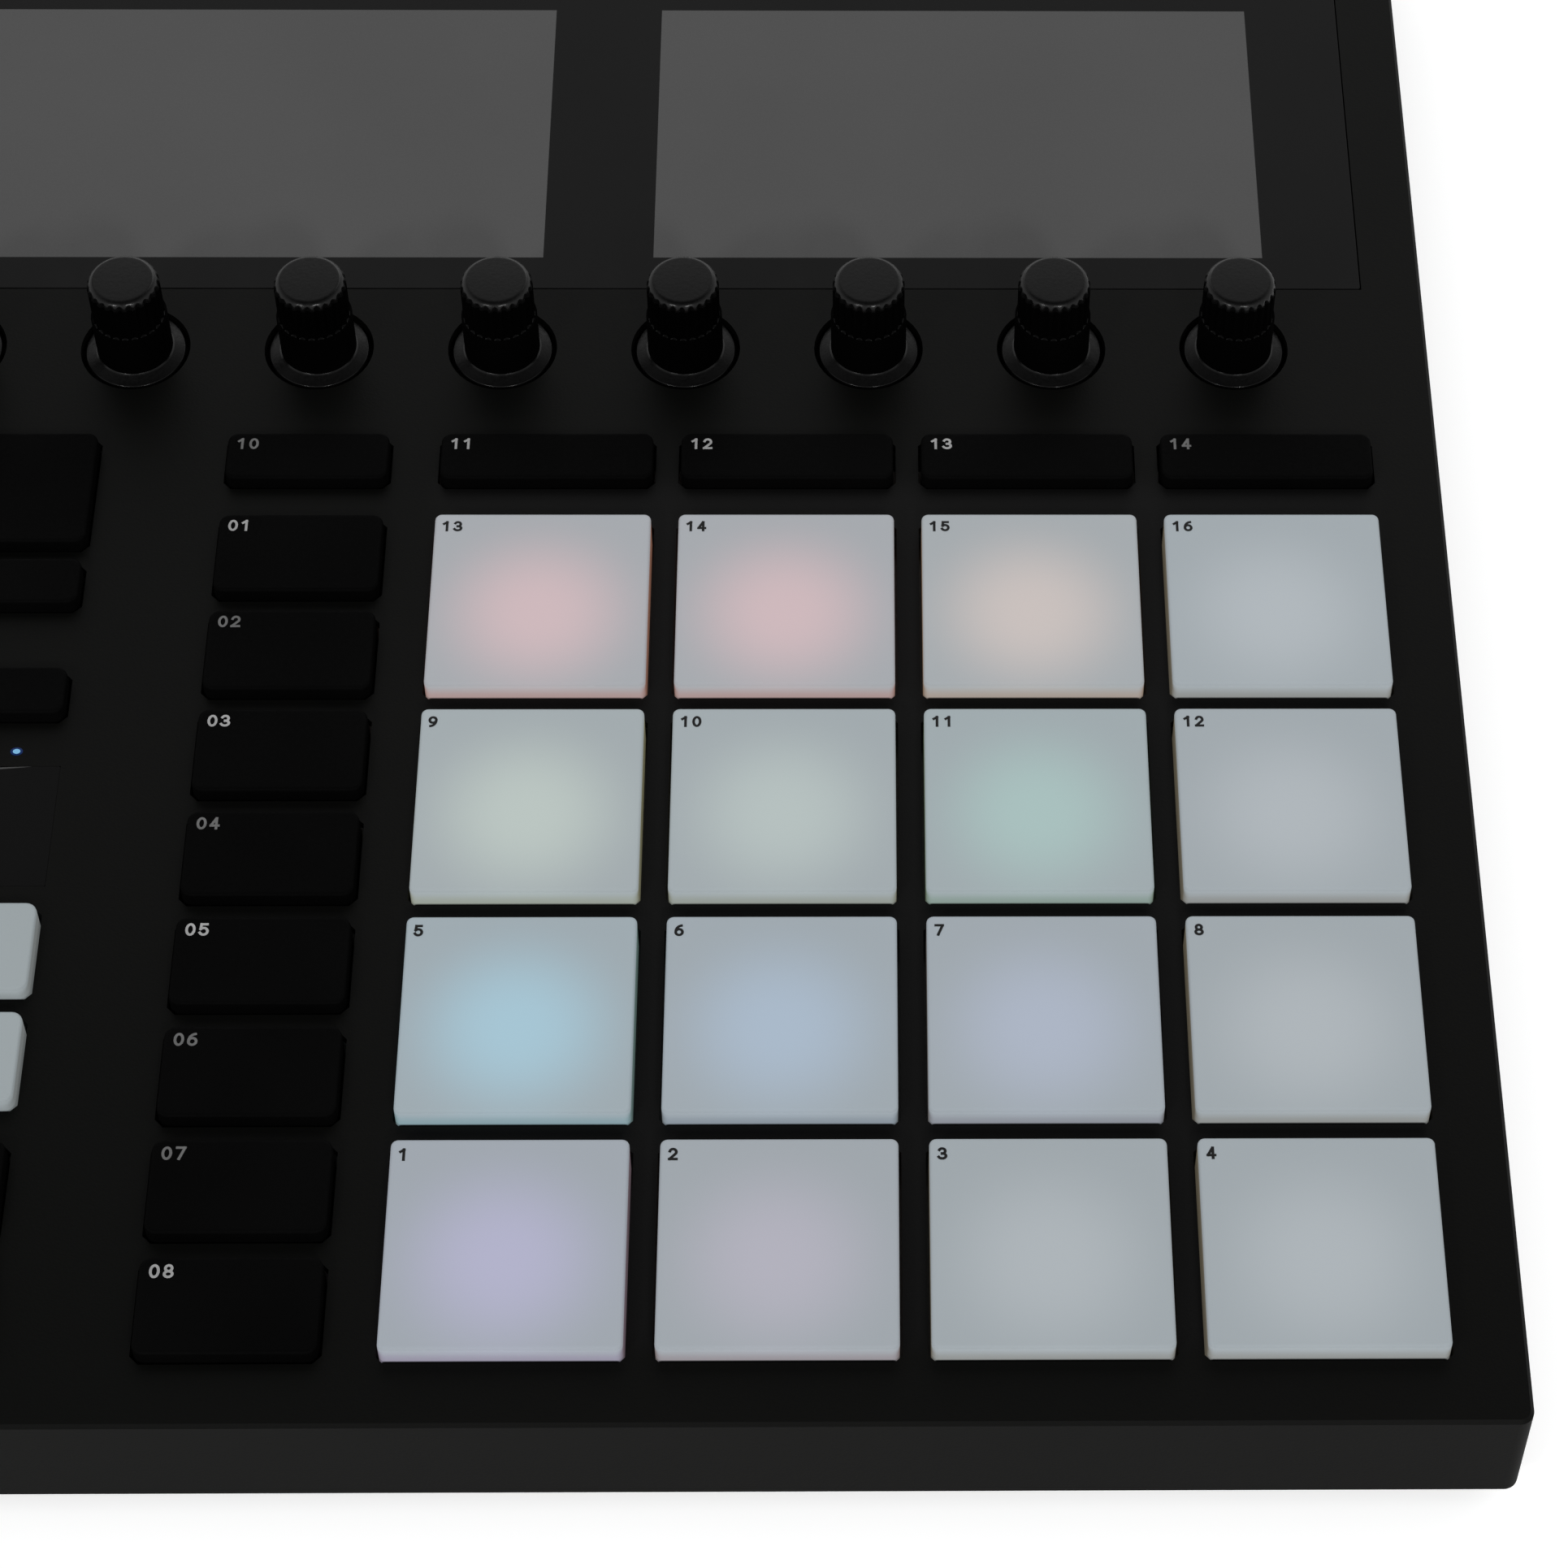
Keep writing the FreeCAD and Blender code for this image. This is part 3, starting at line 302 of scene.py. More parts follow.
def facing_of(tree):
    """The X, Y and Z of the way that the surface faces."""
    return parts_of(tree, tree.nodes.new("ShaderNodeNewGeometry").outputs["Normal"])


def mapped(tree, value, way="LINEAR", **ends):
    """A value taken from one range to another, each 0 to 1 where no end is given."""
    node = tree.nodes.new("ShaderNodeMapRange")
    node.interpolation_type = way
    tree.links.new(value, node.inputs["Value"])
    for label, end in ends.items():
        feed(tree, end, node.inputs[label.replace("_", " ")])
    return node.outputs["Result"]


def blended(tree, factor, first, second):
    """A colour between two others."""
    node = tree.nodes.new("ShaderNodeMix")
    node.data_type = "RGBA"
    for label, value in (("Factor", factor), ("A", first), ("B", second)):
        feed(tree, value, node.inputs[label])
    return node.outputs["Result"]


def seen_rays(tree):
    """1 for what the camera, mirrors and glass see, and 0 for what only lights."""
    rays = tree.nodes.new("ShaderNodeLightPath").outputs
    mirrored = maths(tree, "MAXIMUM", rays["Is Camera Ray"], rays["Is Glossy Ray"])
    return maths(tree, "MAXIMUM", mirrored, rays["Is Transmission Ray"])


# Camera, lamps, floor

def make_camera():
    data = bpy.data.cameras.new("camera")
    data.sensor_width = SENSOR
    data.lens = CAMERA_LENS
    data.shift_x = CAMERA_SHIFT
    data.clip_start = CAMERA_NEAR * MM
    camera = bpy.data.objects.new("camera", data)
    camera.location = Vector(CAMERA_PLACE) * MM
    camera.rotation_euler = [math.radians(angle) for angle in CAMERA_TURN]
    bpy.context.scene.collection.objects.link(camera)
    bpy.context.scene.camera = camera
    bpy.context.scene.view_settings.view_transform = "Standard"


def make_lamps():
    for name, place, aim, side, power in LAMPS:
        data = bpy.data.lights.new(name, "AREA")
        data.energy = power
        data.size = side
        lamp = bpy.data.objects.new(name, data)
        lamp.location = place
        lamp.rotation_euler = (Vector(aim) - Vector(place)).to_track_quat("-Z", "Y").to_euler()
        bpy.context.scene.collection.objects.link(lamp)


def make_world():
    """A pale room, white round the sides and dim overhead, for what is seen; even as light."""
    world = bpy.data.worlds.new("studio")
    world.use_nodes = True
    tree = world.node_tree
    background = tree.nodes["Background"]
    background.inputs["Color"].default_value = (1, 1, 1, 1)
    height = parts_of(tree, tree.nodes.new("ShaderNodeTexCoord").outputs["Generated"])["Z"]
    dome = mapped(tree, height, From_Min=WHITE_BELOW, From_Max=DIM_ABOVE, To_Min=1.0, To_Max=CEILING)
    strength = mapped(tree, seen_rays(tree), To_Min=AMBIENT, To_Max=dome)
    tree.links.new(strength, background.inputs["Strength"])
    bpy.context.scene.world = world


def make_floor():
    bm = bmesh.new()
    bmesh.ops.create_grid(bm, x_segments=1, y_segments=1, size=FLOOR_HALF)
    mesh = bpy.data.meshes.new("floor")
    bm.to_mesh(mesh)
    bm.free()
    floor = bpy.data.objects.new("floor", mesh)
    bpy.context.scene.collection.objects.link(floor)
    paint = Finish("floor_white", (FLOOR_TONE, FLOOR_TONE, FLOOR_TONE, 1), FLOOR_ROUGHNESS, 0.0)
    paint.feed((1, 1, 1, 1), "Emission Color")
    paint.feed(mapped(paint.tree, seen_rays(paint.tree), To_Max=FLOOR_LIFT), "Emission Strength")
    mesh.materials.append(paint.material)


# Effects that several materials share

NUMBER, VECTOR, COLOUR = "NodeSocketFloat", "NodeSocketVector", "NodeSocketColor"


def group_of(name, inputs, outputs):
    """An empty node group and its sockets, inside. Inputs are (name, kind, value), outputs (name, kind)."""
    group = bpy.data.node_groups.new(name, "ShaderNodeTree")
    for label, kind, value in inputs:
        group.interface.new_socket(label, in_out="INPUT", socket_type=kind).default_value = value
    for label, kind in outputs:
        group.interface.new_socket(label, in_out="OUTPUT", socket_type=kind)
    given = group.nodes.new("NodeGroupInput").outputs
    return group, given, group.nodes.new("NodeGroupOutput").inputs


def grain_group():
    """Fine grain on Object coordinates: a height for bump and a slow cloud that varies a tone."""
    group, given, result = group_of(
        "grain", [("Scale", NUMBER, 3000.0), ("Cloud Scale", NUMBER, CLOUD_SCALE)],
        [("Height", NUMBER), ("Cloud", NUMBER)])
    place = group.nodes.new("ShaderNodeTexCoord").outputs["Object"]
    for label, scale, detail in (("Height", "Scale", GRAIN_DETAIL), ("Cloud", "Cloud Scale", CLOUD_DETAIL)):
        noise = group.nodes.new("ShaderNodeTexNoise")
        noise.inputs["Detail"].default_value = detail
        group.links.new(place, noise.inputs["Vector"])
        group.links.new(given[scale], noise.inputs["Scale"])
        group.links.new(noise.outputs["Fac"], result[label])
    return group


def dust_group():
    """A mask of a few tiny specks."""
    group, given, result = group_of(
        "dust", [("Scale", NUMBER, 60.0), ("Size", NUMBER, 0.02)], [("Mask", NUMBER)])
    cells = group.nodes.new("ShaderNodeTexVoronoi")
    group.links.new(group.nodes.new("ShaderNodeTexCoord").outputs["Object"], cells.inputs["Vector"])
    group.links.new(given["Scale"], cells.inputs["Scale"])
    group.links.new(maths(group, "LESS_THAN", cells.outputs["Distance"], given["Size"]), result["Mask"])
    return group


def field_group():
    """An oblong field with soft edges round a centre, and how level the surface is."""
    group, given, result = group_of(
        "field",
        [("Centre", VECTOR, (0, 0, 0)), ("Half Size", VECTOR, (0.07, 0.07, 0)), ("Edge", NUMBER, 0.005)],
        [("Mask", NUMBER), ("Level", NUMBER)])
    place = group.nodes.new("ShaderNodeTexCoord").outputs["Object"]
    away = vector_maths(group, "SUBTRACT", place, given["Centre"]).outputs["Vector"]
    aside = vector_maths(group, "ABSOLUTE", away).outputs["Vector"]
    inside = parts_of(group, vector_maths(group, "SUBTRACT", given["Half Size"], aside).outputs["Vector"])
    inner = maths(group, "MINIMUM", inside["X"], inside["Y"])
    group.links.new(mapped(group, inner, "SMOOTHSTEP", From_Max=given["Edge"]), result["Mask"])
    group.links.new(facing_of(group)["Z"], result["Level"])
    return group


def glow_group():
    """The light of a lamp under a translucent pad, painted into the colour and given off as glow: it fades
    out from a centre and down the walls, with painted shade at the walls' feet and in the gap.
    """
    group, given, result = group_of(
        "glow",
        [("Place", VECTOR, (0, 0, 0)), ("Reach", NUMBER, 0.02), ("Body", COLOUR, (1, 1, 1, 1)),
         ("Light", COLOUR, (1, 1, 1, 1)), ("Side Low", COLOUR, (0.1, 0.1, 0.1, 1)),
         ("Depth", NUMBER, 0.003), ("Front Low", COLOUR, (0.3, 0.3, 0.3, 1)),
         ("Side Speed", NUMBER, 1.7), ("Top", NUMBER, 0.5), ("Wall", NUMBER, 1.0)],
        [("Color", COLOUR), ("Glow", COLOUR)])
    far = vector_maths(group, "LENGTH", given["Place"]).outputs["Value"]
    near = mapped(group, far, "SMOOTHERSTEP", From_Max=given["Reach"], To_Min=1.0, To_Max=0.0)
    lit = blended(group, near, given["Body"], given["Light"])
    facing = facing_of(group)
    height = parts_of(group, given["Place"])["Z"]
    # Below the top: painted shade, the foot's tone, comes in with depth, at the sides sooner than in front
    front = mapped(group, facing["Y"], From_Max=-1.0)
    speed = mapped(group, front, To_Min=maths(group, "MULTIPLY", given["Side Speed"], -1.0), To_Max=-1.0)
    sunk = mapped(group, maths(group, "MULTIPLY", height, speed), "SMOOTHSTEP", From_Max=given["Depth"])
    foot = blended(group, front, given["Side Low"], given["Front Low"])
    wall = blended(group, sunk, lit, foot)
    # Below the plate: painted shade, near black, in the gap round the pad
    under = maths(group, "DIVIDE", maths(group, "DIVIDE", height, given["Depth"]), speed)
    in_gap = mapped(group, under, From_Min=1.0, From_Max=GAP_DARK_AT)
    color = blended(group, in_gap, wall, GAP_SHADE)
    group.links.new(color, result["Color"])
    share = mapped(group, facing["Z"], From_Max=LEVEL_FROM, To_Min=given["Wall"], To_Max=given["Top"])
    glow = vector_maths(group, "SCALE", color)
    group.links.new(share, glow.inputs["Scale"])
    group.links.new(glow.outputs["Vector"], result["Glow"])
    return group


# Materials

class Finish:
    """A material in the making: its shader, and short ways to feed its sockets."""

    def __init__(self, name, color, roughness, specular=0.5):
        self.material = bpy.data.materials.new(name)
        self.material.use_nodes = True
        self.tree = self.material.node_tree
        self.shader = self.tree.nodes["Principled BSDF"]
        self.feed(color, "Base Color")
        self.feed(roughness, "Roughness")
        self.feed(specular, "Specular IOR Level")

    def feed(self, value, socket):
        feed(self.tree, value, self.shader.inputs[socket])

    def node(self, kind, **values):
        made = self.tree.nodes.new(kind)
        self.fill(made, values)
        return made

    def group(self, effect, **values):
        """One of the shared effects, with its own values."""
        made = self.tree.nodes.new("ShaderNodeGroup")
        made.node_tree = effect
        self.fill(made, values)
        return made

    def fill(self, made, values):
        for label, value in values.items():
            feed(self.tree, value, made.inputs[label.replace("_", " ")])

    def grain(self, scale, bump, cloud_scale=CLOUD_SCALE):
        """Bump from the shared grain. Returns the grain's outputs, of which the cloud can vary a tone."""
        grain = self.group(GRAIN, Scale=scale, Cloud_Scale=cloud_scale).outputs
        bumps = self.node("ShaderNodeBump", Strength=bump, Distance=GRAIN_HIGH * MM,
                          Height=grain["Height"])
        self.feed(bumps.outputs["Normal"], "Normal")
        return grain

    def vary(self, factor, dark, light, socket, first=CLOUD_FROM, last=CLOUD_TO):
        """A socket that runs from one value or colour to another as factor goes from first to last."""
        if isinstance(dark, tuple):
            ramp = self.tree.nodes.new("ShaderNodeValToRGB")
            for stop, place, color in zip(ramp.color_ramp.elements, (first, last), (dark, light)):
                stop.position = place
                stop.color = color
            self.tree.links.new(factor, ramp.inputs["Fac"])
            varied = ramp.outputs["Color"]
        else:
            varied = mapped(self.tree, factor, From_Min=first, From_Max=last, To_Min=dark, To_Max=light)
        self.feed(varied, socket)
        return varied


def powder_coat():
    """Fine black powder coat, with a little dust, and the pads' light painted onto the plate between them.
    """
    paint = Finish("powder_coat", tone(9), PLATE_ROUGHNESS, specular=0.045)
    cloud = paint.grain(scale=3200.0, bump=0.1, cloud_scale=9.0)["Cloud"]
    color = paint.vary(cloud, tone(8, 8.5, 7.5), tone(10, 10, 9), "Base Color")
    among = paint.group(FIELD, Centre=Vector(PAINTED_PAD_GLOW_MIDDLE) * MM, Half_Size=Vector(PAINTED_PAD_GLOW_HALF) * MM,
                        Edge=PAINTED_PAD_GLOW_EDGE * MM).outputs
    dust = paint.group(DUST, Scale=70.0, Size=0.014).outputs
    # The first mix is painted light from the pads on the plate; the second is real dust
    for mask, mixed in ((among["Mask"], tone(15)), (dust["Mask"], tone(48, 48, 45))):
        color = blended(paint.tree, mask, color, mixed)
    paint.feed(color, "Base Color")
    paint.vary(among["Level"], WALL_ROUGHNESS, PLATE_ROUGHNESS, "Roughness", WALL_UP_TO, PLATE_FROM)
    return paint.material


def moulded(name, level, roughness, specular, bump=0.15, spread=3):
    """Moulded plastic or rubber of one grey level, with fine grain and a slight cloudiness."""
    plastic = Finish(name, tone(level), roughness, specular)
    grain = plastic.grain(MOULDED_GRAIN, bump, MOULDED_CLOUD)
    plastic.vary(grain["Cloud"], tone(max(level - spread, 0)), tone(level + spread), "Base Color")
    plastic.vary(grain["Height"], roughness - MOULDED_SPREAD, roughness + MOULDED_SPREAD, "Roughness")
    return plastic.material


def lit_silicone(name, body, light, side_shade, front_shade, centre, reach, depth):
    """Translucent white silicone, lit from under its centre, with the lamp's light painted into its colour
    as well as its glow, and painted shade down its walls to a depth.
    """
    pad = Finish(name, body, roughness=0.6, specular=0.1)
    pad.grain(scale=900.0, bump=0.06)
    centred = pad.node("ShaderNodeMapping", Location=[-place * MM for place in centre],
                       Vector=pad.tree.nodes.new("ShaderNodeTexCoord").outputs["Object"])
    glow = pad.group(GLOW, Place=centred.outputs["Vector"], Reach=reach * MM, Body=body, Light=light,
                     Side_Low=side_shade, Front_Low=front_shade, Depth=depth * MM, Side_Speed=SIDE_SPEED,
                     Top=GLOW_SHARE, Wall=GLOW_WALL).outputs
    pad.feed(glow["Color"], "Base Color")
    pad.feed(glow["Glow"], "Emission Color")
    pad.feed(1.0, "Emission Strength")
    return pad.material


def metal(name, roughness, *levels):
    """Bare metal, of one grey level or of three colour levels."""
    steel = Finish(name, tone(*levels), roughness)
    steel.feed(1.0, "Metallic")
    cloud = steel.grain(scale=1500.0, bump=0.05)["Cloud"]
    steel.vary(cloud, roughness - METAL_SPREAD, roughness + METAL_SPREAD, "Roughness")
    return steel.material


def printed(name, level):
    """Silk-screened ink."""
    ink = Finish(name, tone(level), roughness=0.6, specular=0.2)
    cloud = ink.grain(scale=2500.0, bump=0.05, cloud_scale=400.0)["Cloud"]
    ink.vary(cloud, tone(level * INK_DARK), tone(level * INK_LIGHT), "Base Color")
    return ink.material


def lamp_plastic(name, color, shine, strength):
    """A tinted lens that shines."""
    lens = Finish(name, color, roughness=0.3, specular=0.1)
    lens.feed(shine, "Emission Color")
    lens.feed(strength, "Emission Strength")
    lens.grain(scale=3000.0, bump=0.02)
    return lens.material


GRAIN = grain_group()
DUST = dust_group()
FIELD = field_group()
GLOW = glow_group()
POWDER_COAT = powder_coat()
# Grey level, roughness and specular level
TRAY_PLASTIC = moulded("tray_plastic", 26, 0.6, 0.3)
FOOT_RUBBER = moulded("foot_rubber", 22, 0.8, 0.2)
KEY_RUBBER = moulded("key_rubber", 4, 0.65, 0.02, spread=1)
# The knobs are one black plastic: knob_top's lighter level is painted light, and knob_wall's near black is
# painted shade
KNOB_TOP = moulded("knob_top", 14, 0.4, 0.08)
KNOB_EDGE = moulded("knob_edge", 9, 0.24, 0.2, bump=0.03)
KNOB_WALL = moulded("knob_wall", 2, 0.75, 0.01, spread=1)
KNOB_SKIRT = moulded("knob_skirt", 9, 0.3, 0.08, spread=1)
GLASS_EDGE = moulded("glass_edge", 13, 0.16, 0.055, bump=0.0, spread=1)
PANEL_GREY = moulded("panel_grey", 74, 0.25, 0.08, bump=0.0, spread=1)
STRIP_BLACK = moulded("strip_black", 9, 0.42, 0.045, bump=0.05, spread=1)
PART_BLACK = moulded("part_black", 20, 0.45, 0.4)
BOARD_GREEN = moulded("board_green", 40, 0.4, 0.4)
SILICONE_GREY = moulded("silicone_grey", 120, 0.6, 0.3)
SHAFT_GREY = moulded("shaft_grey", 110, 0.4, 0.4)
# Roughness and levels
SCREW_STEEL = metal("screw_steel", 0.35, 90)
STRIP_GLOSS = metal("strip_gloss", 0.25, 48)
PIN_METAL = metal("pin_metal", 0.3, 170)
SOCKET_METAL = metal("socket_metal", 0.35, 135)
CONTACT_GOLD = metal("contact_gold", 0.3, 178, 148, 92)
PAD_INK = printed("pad_ink", 14)
KEY_INK = printed("key_ink", 150)
KEY_INK_DIM = printed("key_ink_dim", 95)
STATUS_BLUE = lamp_plastic("status_blue", tone(60, 85, 100), tone(130, 195, 240), 0.65)
STATUS_RIM = lamp_plastic("status_rim", tone(4, 12, 30), tone(6, 42, 100), 0.6)


# Making pieces

def piece(name, bm, materials, body, replaced=None, angle=PIECE_SHARP):
    """Turns a bmesh in millimetres into a piece that rides on a body."""
    bmesh.ops.scale(bm, vec=(MM, MM, MM), verts=bm.verts)
    mesh = bpy.data.meshes.new(name)
    bm.to_mesh(mesh)
    bm.free()
    for material in materials:
        mesh.materials.append(material)
    for face in mesh.polygons:
        face.use_smooth = True
    mesh.set_sharp_from_angle(angle=math.radians(angle))
    made = bpy.data.objects.new(name, mesh)
    bpy.context.scene.collection.objects.link(made)
    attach(made, body)
    if replaced:
        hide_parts(replaced)


def box_of(node):
    """The lowest corner, the highest corner and the middle of a CAD node, in millimetres."""
    low, high = (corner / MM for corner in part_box(node))
    return low, high, (low + high) / 2


def move(bm, verts, x, y, z=0):
    bmesh.ops.translate(bm, vec=(x, y, z), verts=verts)


def once(things):
    """The things in their order, each only once."""
    return list(dict.fromkeys(things))


def block(bm, low, high):
    """An upright block between two corners. Returns its points."""
    made = bmesh.ops.create_cube(bm, size=1)["verts"]
    bmesh.ops.scale(bm, vec=[far - near for near, far in zip(low, high)], verts=made)
    move(bm, made, *[(far + near) / 2 for near, far in zip(low, high)])
    return made


def soft_block(bm, wide, deep, low, high, corner, edge, x, y):
    """A block with round upright corners and a soft top edge, added to bm about a point."""
    made = block(bm, (x - wide / 2, y - deep / 2, low), (x + wide / 2, y + deep / 2, high))
    edges = once(link for vert in made for link in vert.link_edges)
    upright = [link for link in edges if abs(link.verts[0].co.z - link.verts[1].co.z) > (high - low) / 2]
    rounded = bmesh.ops.bevel(bm, geom=upright, offset=corner, offset_type="OFFSET", segments=CORNER_STEPS,
                              profile=0.5, affect="EDGES", material=-1)
    top = once(
        link for face in rounded["faces"] for vert in face.verts for link in vert.link_edges
        if all(abs(end.co.z - high) < TOUCHING for end in link.verts)
    )
    softened = bmesh.ops.bevel(bm, geom=top, offset=edge, offset_type="OFFSET", segments=EDGE_STEPS,
                               profile=0.5, affect="EDGES", material=-1)
    caps = once(
        face for soft in softened["faces"] for vert in soft.verts for face in vert.link_faces
        if face.normal.z > LEVEL and face.calc_area() > wide * deep / 2
    )
    bmesh.ops.inset_region(bm, faces=caps, thickness=edge * EDGE_INSET, use_even_offset=True)


def turned(bm, profile, steps):
    """A solid of revolution about the Z axis from a profile of (radius, height)."""
    verts = [bm.verts.new((radius, 0, height)) for radius, height in profile]
    edges = [bm.edges.new(pair) for pair in zip(verts, verts[1:])]
    bmesh.ops.spin(bm, geom=verts + edges, cent=(0, 0, 0), axis=(0, 0, 1), angle=math.tau, steps=steps,
                   use_merge=True)
    bmesh.ops.remove_doubles(bm, verts=bm.verts, dist=TOUCHING)
    bmesh.ops.recalc_face_normals(bm, faces=bm.faces)


def split(bm, axis, place):
    """Cuts the mesh with a plane square to an axis, keeping both sides."""
    normal = Vector((0, 0, 0))
    normal[axis] = 1
    bmesh.ops.bisect_plane(bm, geom=bm.verts[:] + bm.edges[:] + bm.faces[:], plane_co=normal * place,
                           plane_no=normal)


# Figures

def sweep(x, y, wide, high, first, last, steps=14):
    """Points on an ellipse about a centre, from one angle to another in degrees."""
    turns = [math.radians(first + (last - first) * step / steps) for step in range(steps + 1)]
    return [(x + wide * math.cos(turn), y + high * math.sin(turn)) for turn in turns]


FIGURES = {  # strokes of each figure, both ways from 0 to 1
    "0": [sweep(0.5, 0.5, 0.5, 0.5, 0, 360, 24)],
    "1": [[(0.6, 0.0), (0.6, 1.0)], [(0.12, 0.78), (0.6, 0.98)]],
    "2": [sweep(0.5, 0.7, 0.47, 0.3, 165, -28) + [(0.04, 0.02)], [(0.0, 0.0), (1.0, 0.0)]],
    "3": [sweep(0.46, 0.74, 0.44, 0.26, 155, -90), sweep(0.46, 0.25, 0.54, 0.25, 90, -158)],
    "4": [[(0.72, 0.0), (0.72, 1.0)], [(0.66, 0.98), (0.02, 0.29)], [(0.0, 0.27), (1.0, 0.27)]],
    "5": [[(0.9, 1.0), (0.16, 1.0)], [(0.16, 1.0), (0.1, 0.56)], sweep(0.48, 0.32, 0.52, 0.32, 138, -155)],
    "6": [sweep(0.5, 0.31, 0.5, 0.31, 0, 360, 20), sweep(0.92, 0.36, 0.91, 0.64, 180, 96)],
    "7": [[(0.0, 1.0), (1.0, 1.0)], [(0.98, 0.98), (0.34, 0.0)]],
    "8": [sweep(0.5, 0.75, 0.41, 0.25, 0, 360, 20), sweep(0.5, 0.25, 0.5, 0.25, 0, 360, 20)],
    "9": [sweep(0.5, 0.69, 0.5, 0.31, 0, 360, 20), sweep(0.08, 0.64, 0.91, 0.64, 0, -84)],
}


def ribbon(bm, points, wide, z):
    """A flat stroke along a line of points, with square ends unless it closes on itself."""
    line = [Vector(point) for point in points]
    closed = (line[0] - line[-1]).length < TOUCHING
    if closed:
        line.pop()
    ways = [(line[(k + 1) % len(line)] - line[k]).normalized() for k in range(len(line))]
    if not closed:
        ways[-1] = ways[-2]
        line[0] = line[0] - ways[0] * wide * 0.5
        line[-1] = line[-1] + ways[-1] * wide * 0.5
    sides = []
    for k, point in enumerate(line):
        before = ways[k - 1] if closed or k else ways[k]
        along = (before + ways[k]).normalized()
        square = Vector((-along.y, along.x)) * wide / 2 / max(along.dot(ways[k]), MITRE_LEAST)
        sides.append([bm.verts.new((*(point + side * square), z)) for side in (1, -1)])
    for k in range(len(line) if closed else len(line) - 1):
        left, right = sides[k], sides[(k + 1) % len(line)]
        bm.faces.new((left[1], right[1], right[0], left[0]))


def number_piece(name, words, height, bold, x, y, z, ink, body):
    """Printed figures on a top face, from their upper left corner."""
    bm = bmesh.new()
    stroke = height * bold
    wide, high = height * FIGURE_WIDE - stroke, height - stroke
    for place, figure in enumerate(words):
        left = x + place * height * FIGURE_STEP + stroke / 2
        low = y - height + stroke / 2
        for layer, points in enumerate(FIGURES[figure]):
            ribbon(bm, [(left + across * wide, low + up * high) for across, up in points], stroke,
                   z + PRINT_LIFT + layer * PRINT_LAYER)
    piece(name, bm, [ink], body)


# Pads

def dimmed(levels, extra=0.0):
    """The tone that shows as wanted once the room's light and the light from inside add up."""
    light = LIGHT_LEVEL + GLOW_SHARE + extra
    return tuple(value / light for value in tone(*levels)[:3]) + (1.0,)


def tinted(base, lamp_colour, share):
    """A tone shifted the way that a lamp's colour differs from the clear lamp's."""
    shifts = zip(base, LAMP_COLOURS[lamp_colour], LAMP_COLOURS["clear"])
    return [max(level + (lit - clear) * share, 0) for level, lit, clear in shifts]


def make_pads():
    for number, lamp_colour in enumerate(PAD_LAMPS, 1):
        name = f"pad_{number}"
        low, high, middle = box_of(name)
        near_front = -FRONT_LIGHT * middle.y / FRONT_LIGHT_AT
        tones = [
            dimmed(levels, near_front) for levels in (
                tinted(SILICONE_TONE, lamp_colour, RIM_TINT), LAMP_COLOURS[lamp_colour],
                tinted(SIDE_SHADE_TONE, lamp_colour, SIDE_TINT), tinted(FRONT_SHADE_TONE, lamp_colour, FRONT_TINT))]
        silicone = lit_silicone(name + "_silicone", *tones, (middle.x, middle.y - GLOW_FORWARD, high.z),
                                GLOW_REACH, high.z - PLATE_TOP)
        bm = bmesh.new()
        soft_block(bm, PAD_SIDE, PAD_SIDE, low.z, high.z, PAD_CORNER, PAD_EDGE, middle.x, middle.y)
        piece(name + "_cap", bm, [silicone], name, replaced=name)
        number_piece(name + "_number", str(number), PAD_NUMBER, PAD_NUMBER_BOLD,
                     middle.x - PAD_SIDE / 2 + PAD_PRINT_X, middle.y + PAD_SIDE / 2 - PAD_PRINT_Y,
                     high.z, PAD_INK, name)


# Keys

def grid_of(node, columns, rows, deep):
    """Centres of the caps in a node that holds a grid of keys, row by row from the front."""
    low, high, _ = box_of(node)
    first_x, last_x = low.x + KEY_WIDE / 2 + KEY_LIP, high.x - KEY_WIDE / 2 - KEY_LIP
    first_y, last_y = low.y + deep / 2 + KEY_LIP, high.y - deep / 2 - KEY_LIP
    return [
        (first_x + (last_x - first_x) * column / max(columns - 1, 1),
         first_y + (last_y - first_y) * row / max(rows - 1, 1))
        for row in range(rows) for column in range(columns)
    ]


def key_cap(bm, x, y, wide, deep, top):
    soft_block(bm, wide, deep, KEY_FOOT, top, KEY_CORNER, KEY_EDGE, x, y)


def make_key(name, number):
    """A key with a body of its own, and figures in its upper left corner."""
    low, high, middle = box_of(name)
    wide, deep = high.x - low.x - 2 * KEY_LIP, high.y - low.y - 2 * KEY_LIP
    bm = bmesh.new()
    key_cap(bm, middle.x, middle.y, wide, deep, high.z)
    piece(name + "_cap", bm, [KEY_RUBBER], name, replaced=name)
    number_piece(name + "_number", f"{number:02d}", KEY_NUMBER, KEY_NUMBER_BOLD,
                 middle.x - wide / 2 + KEY_PRINT_X, middle.y + deep / 2 - KEY_PRINT_Y, high.z,
                 KEY_INK if number in BRIGHT_KEYS else KEY_INK_DIM, name)


def make_key_bank(node, places, deep, material):
    """All keys of a node as one piece."""
    top = box_of(node)[1].z
    bm = bmesh.new()
    for x, y in places:
        key_cap(bm, x, y, KEY_WIDE, deep, top)
    piece(node + "_caps", bm, [material], node, replaced=node)


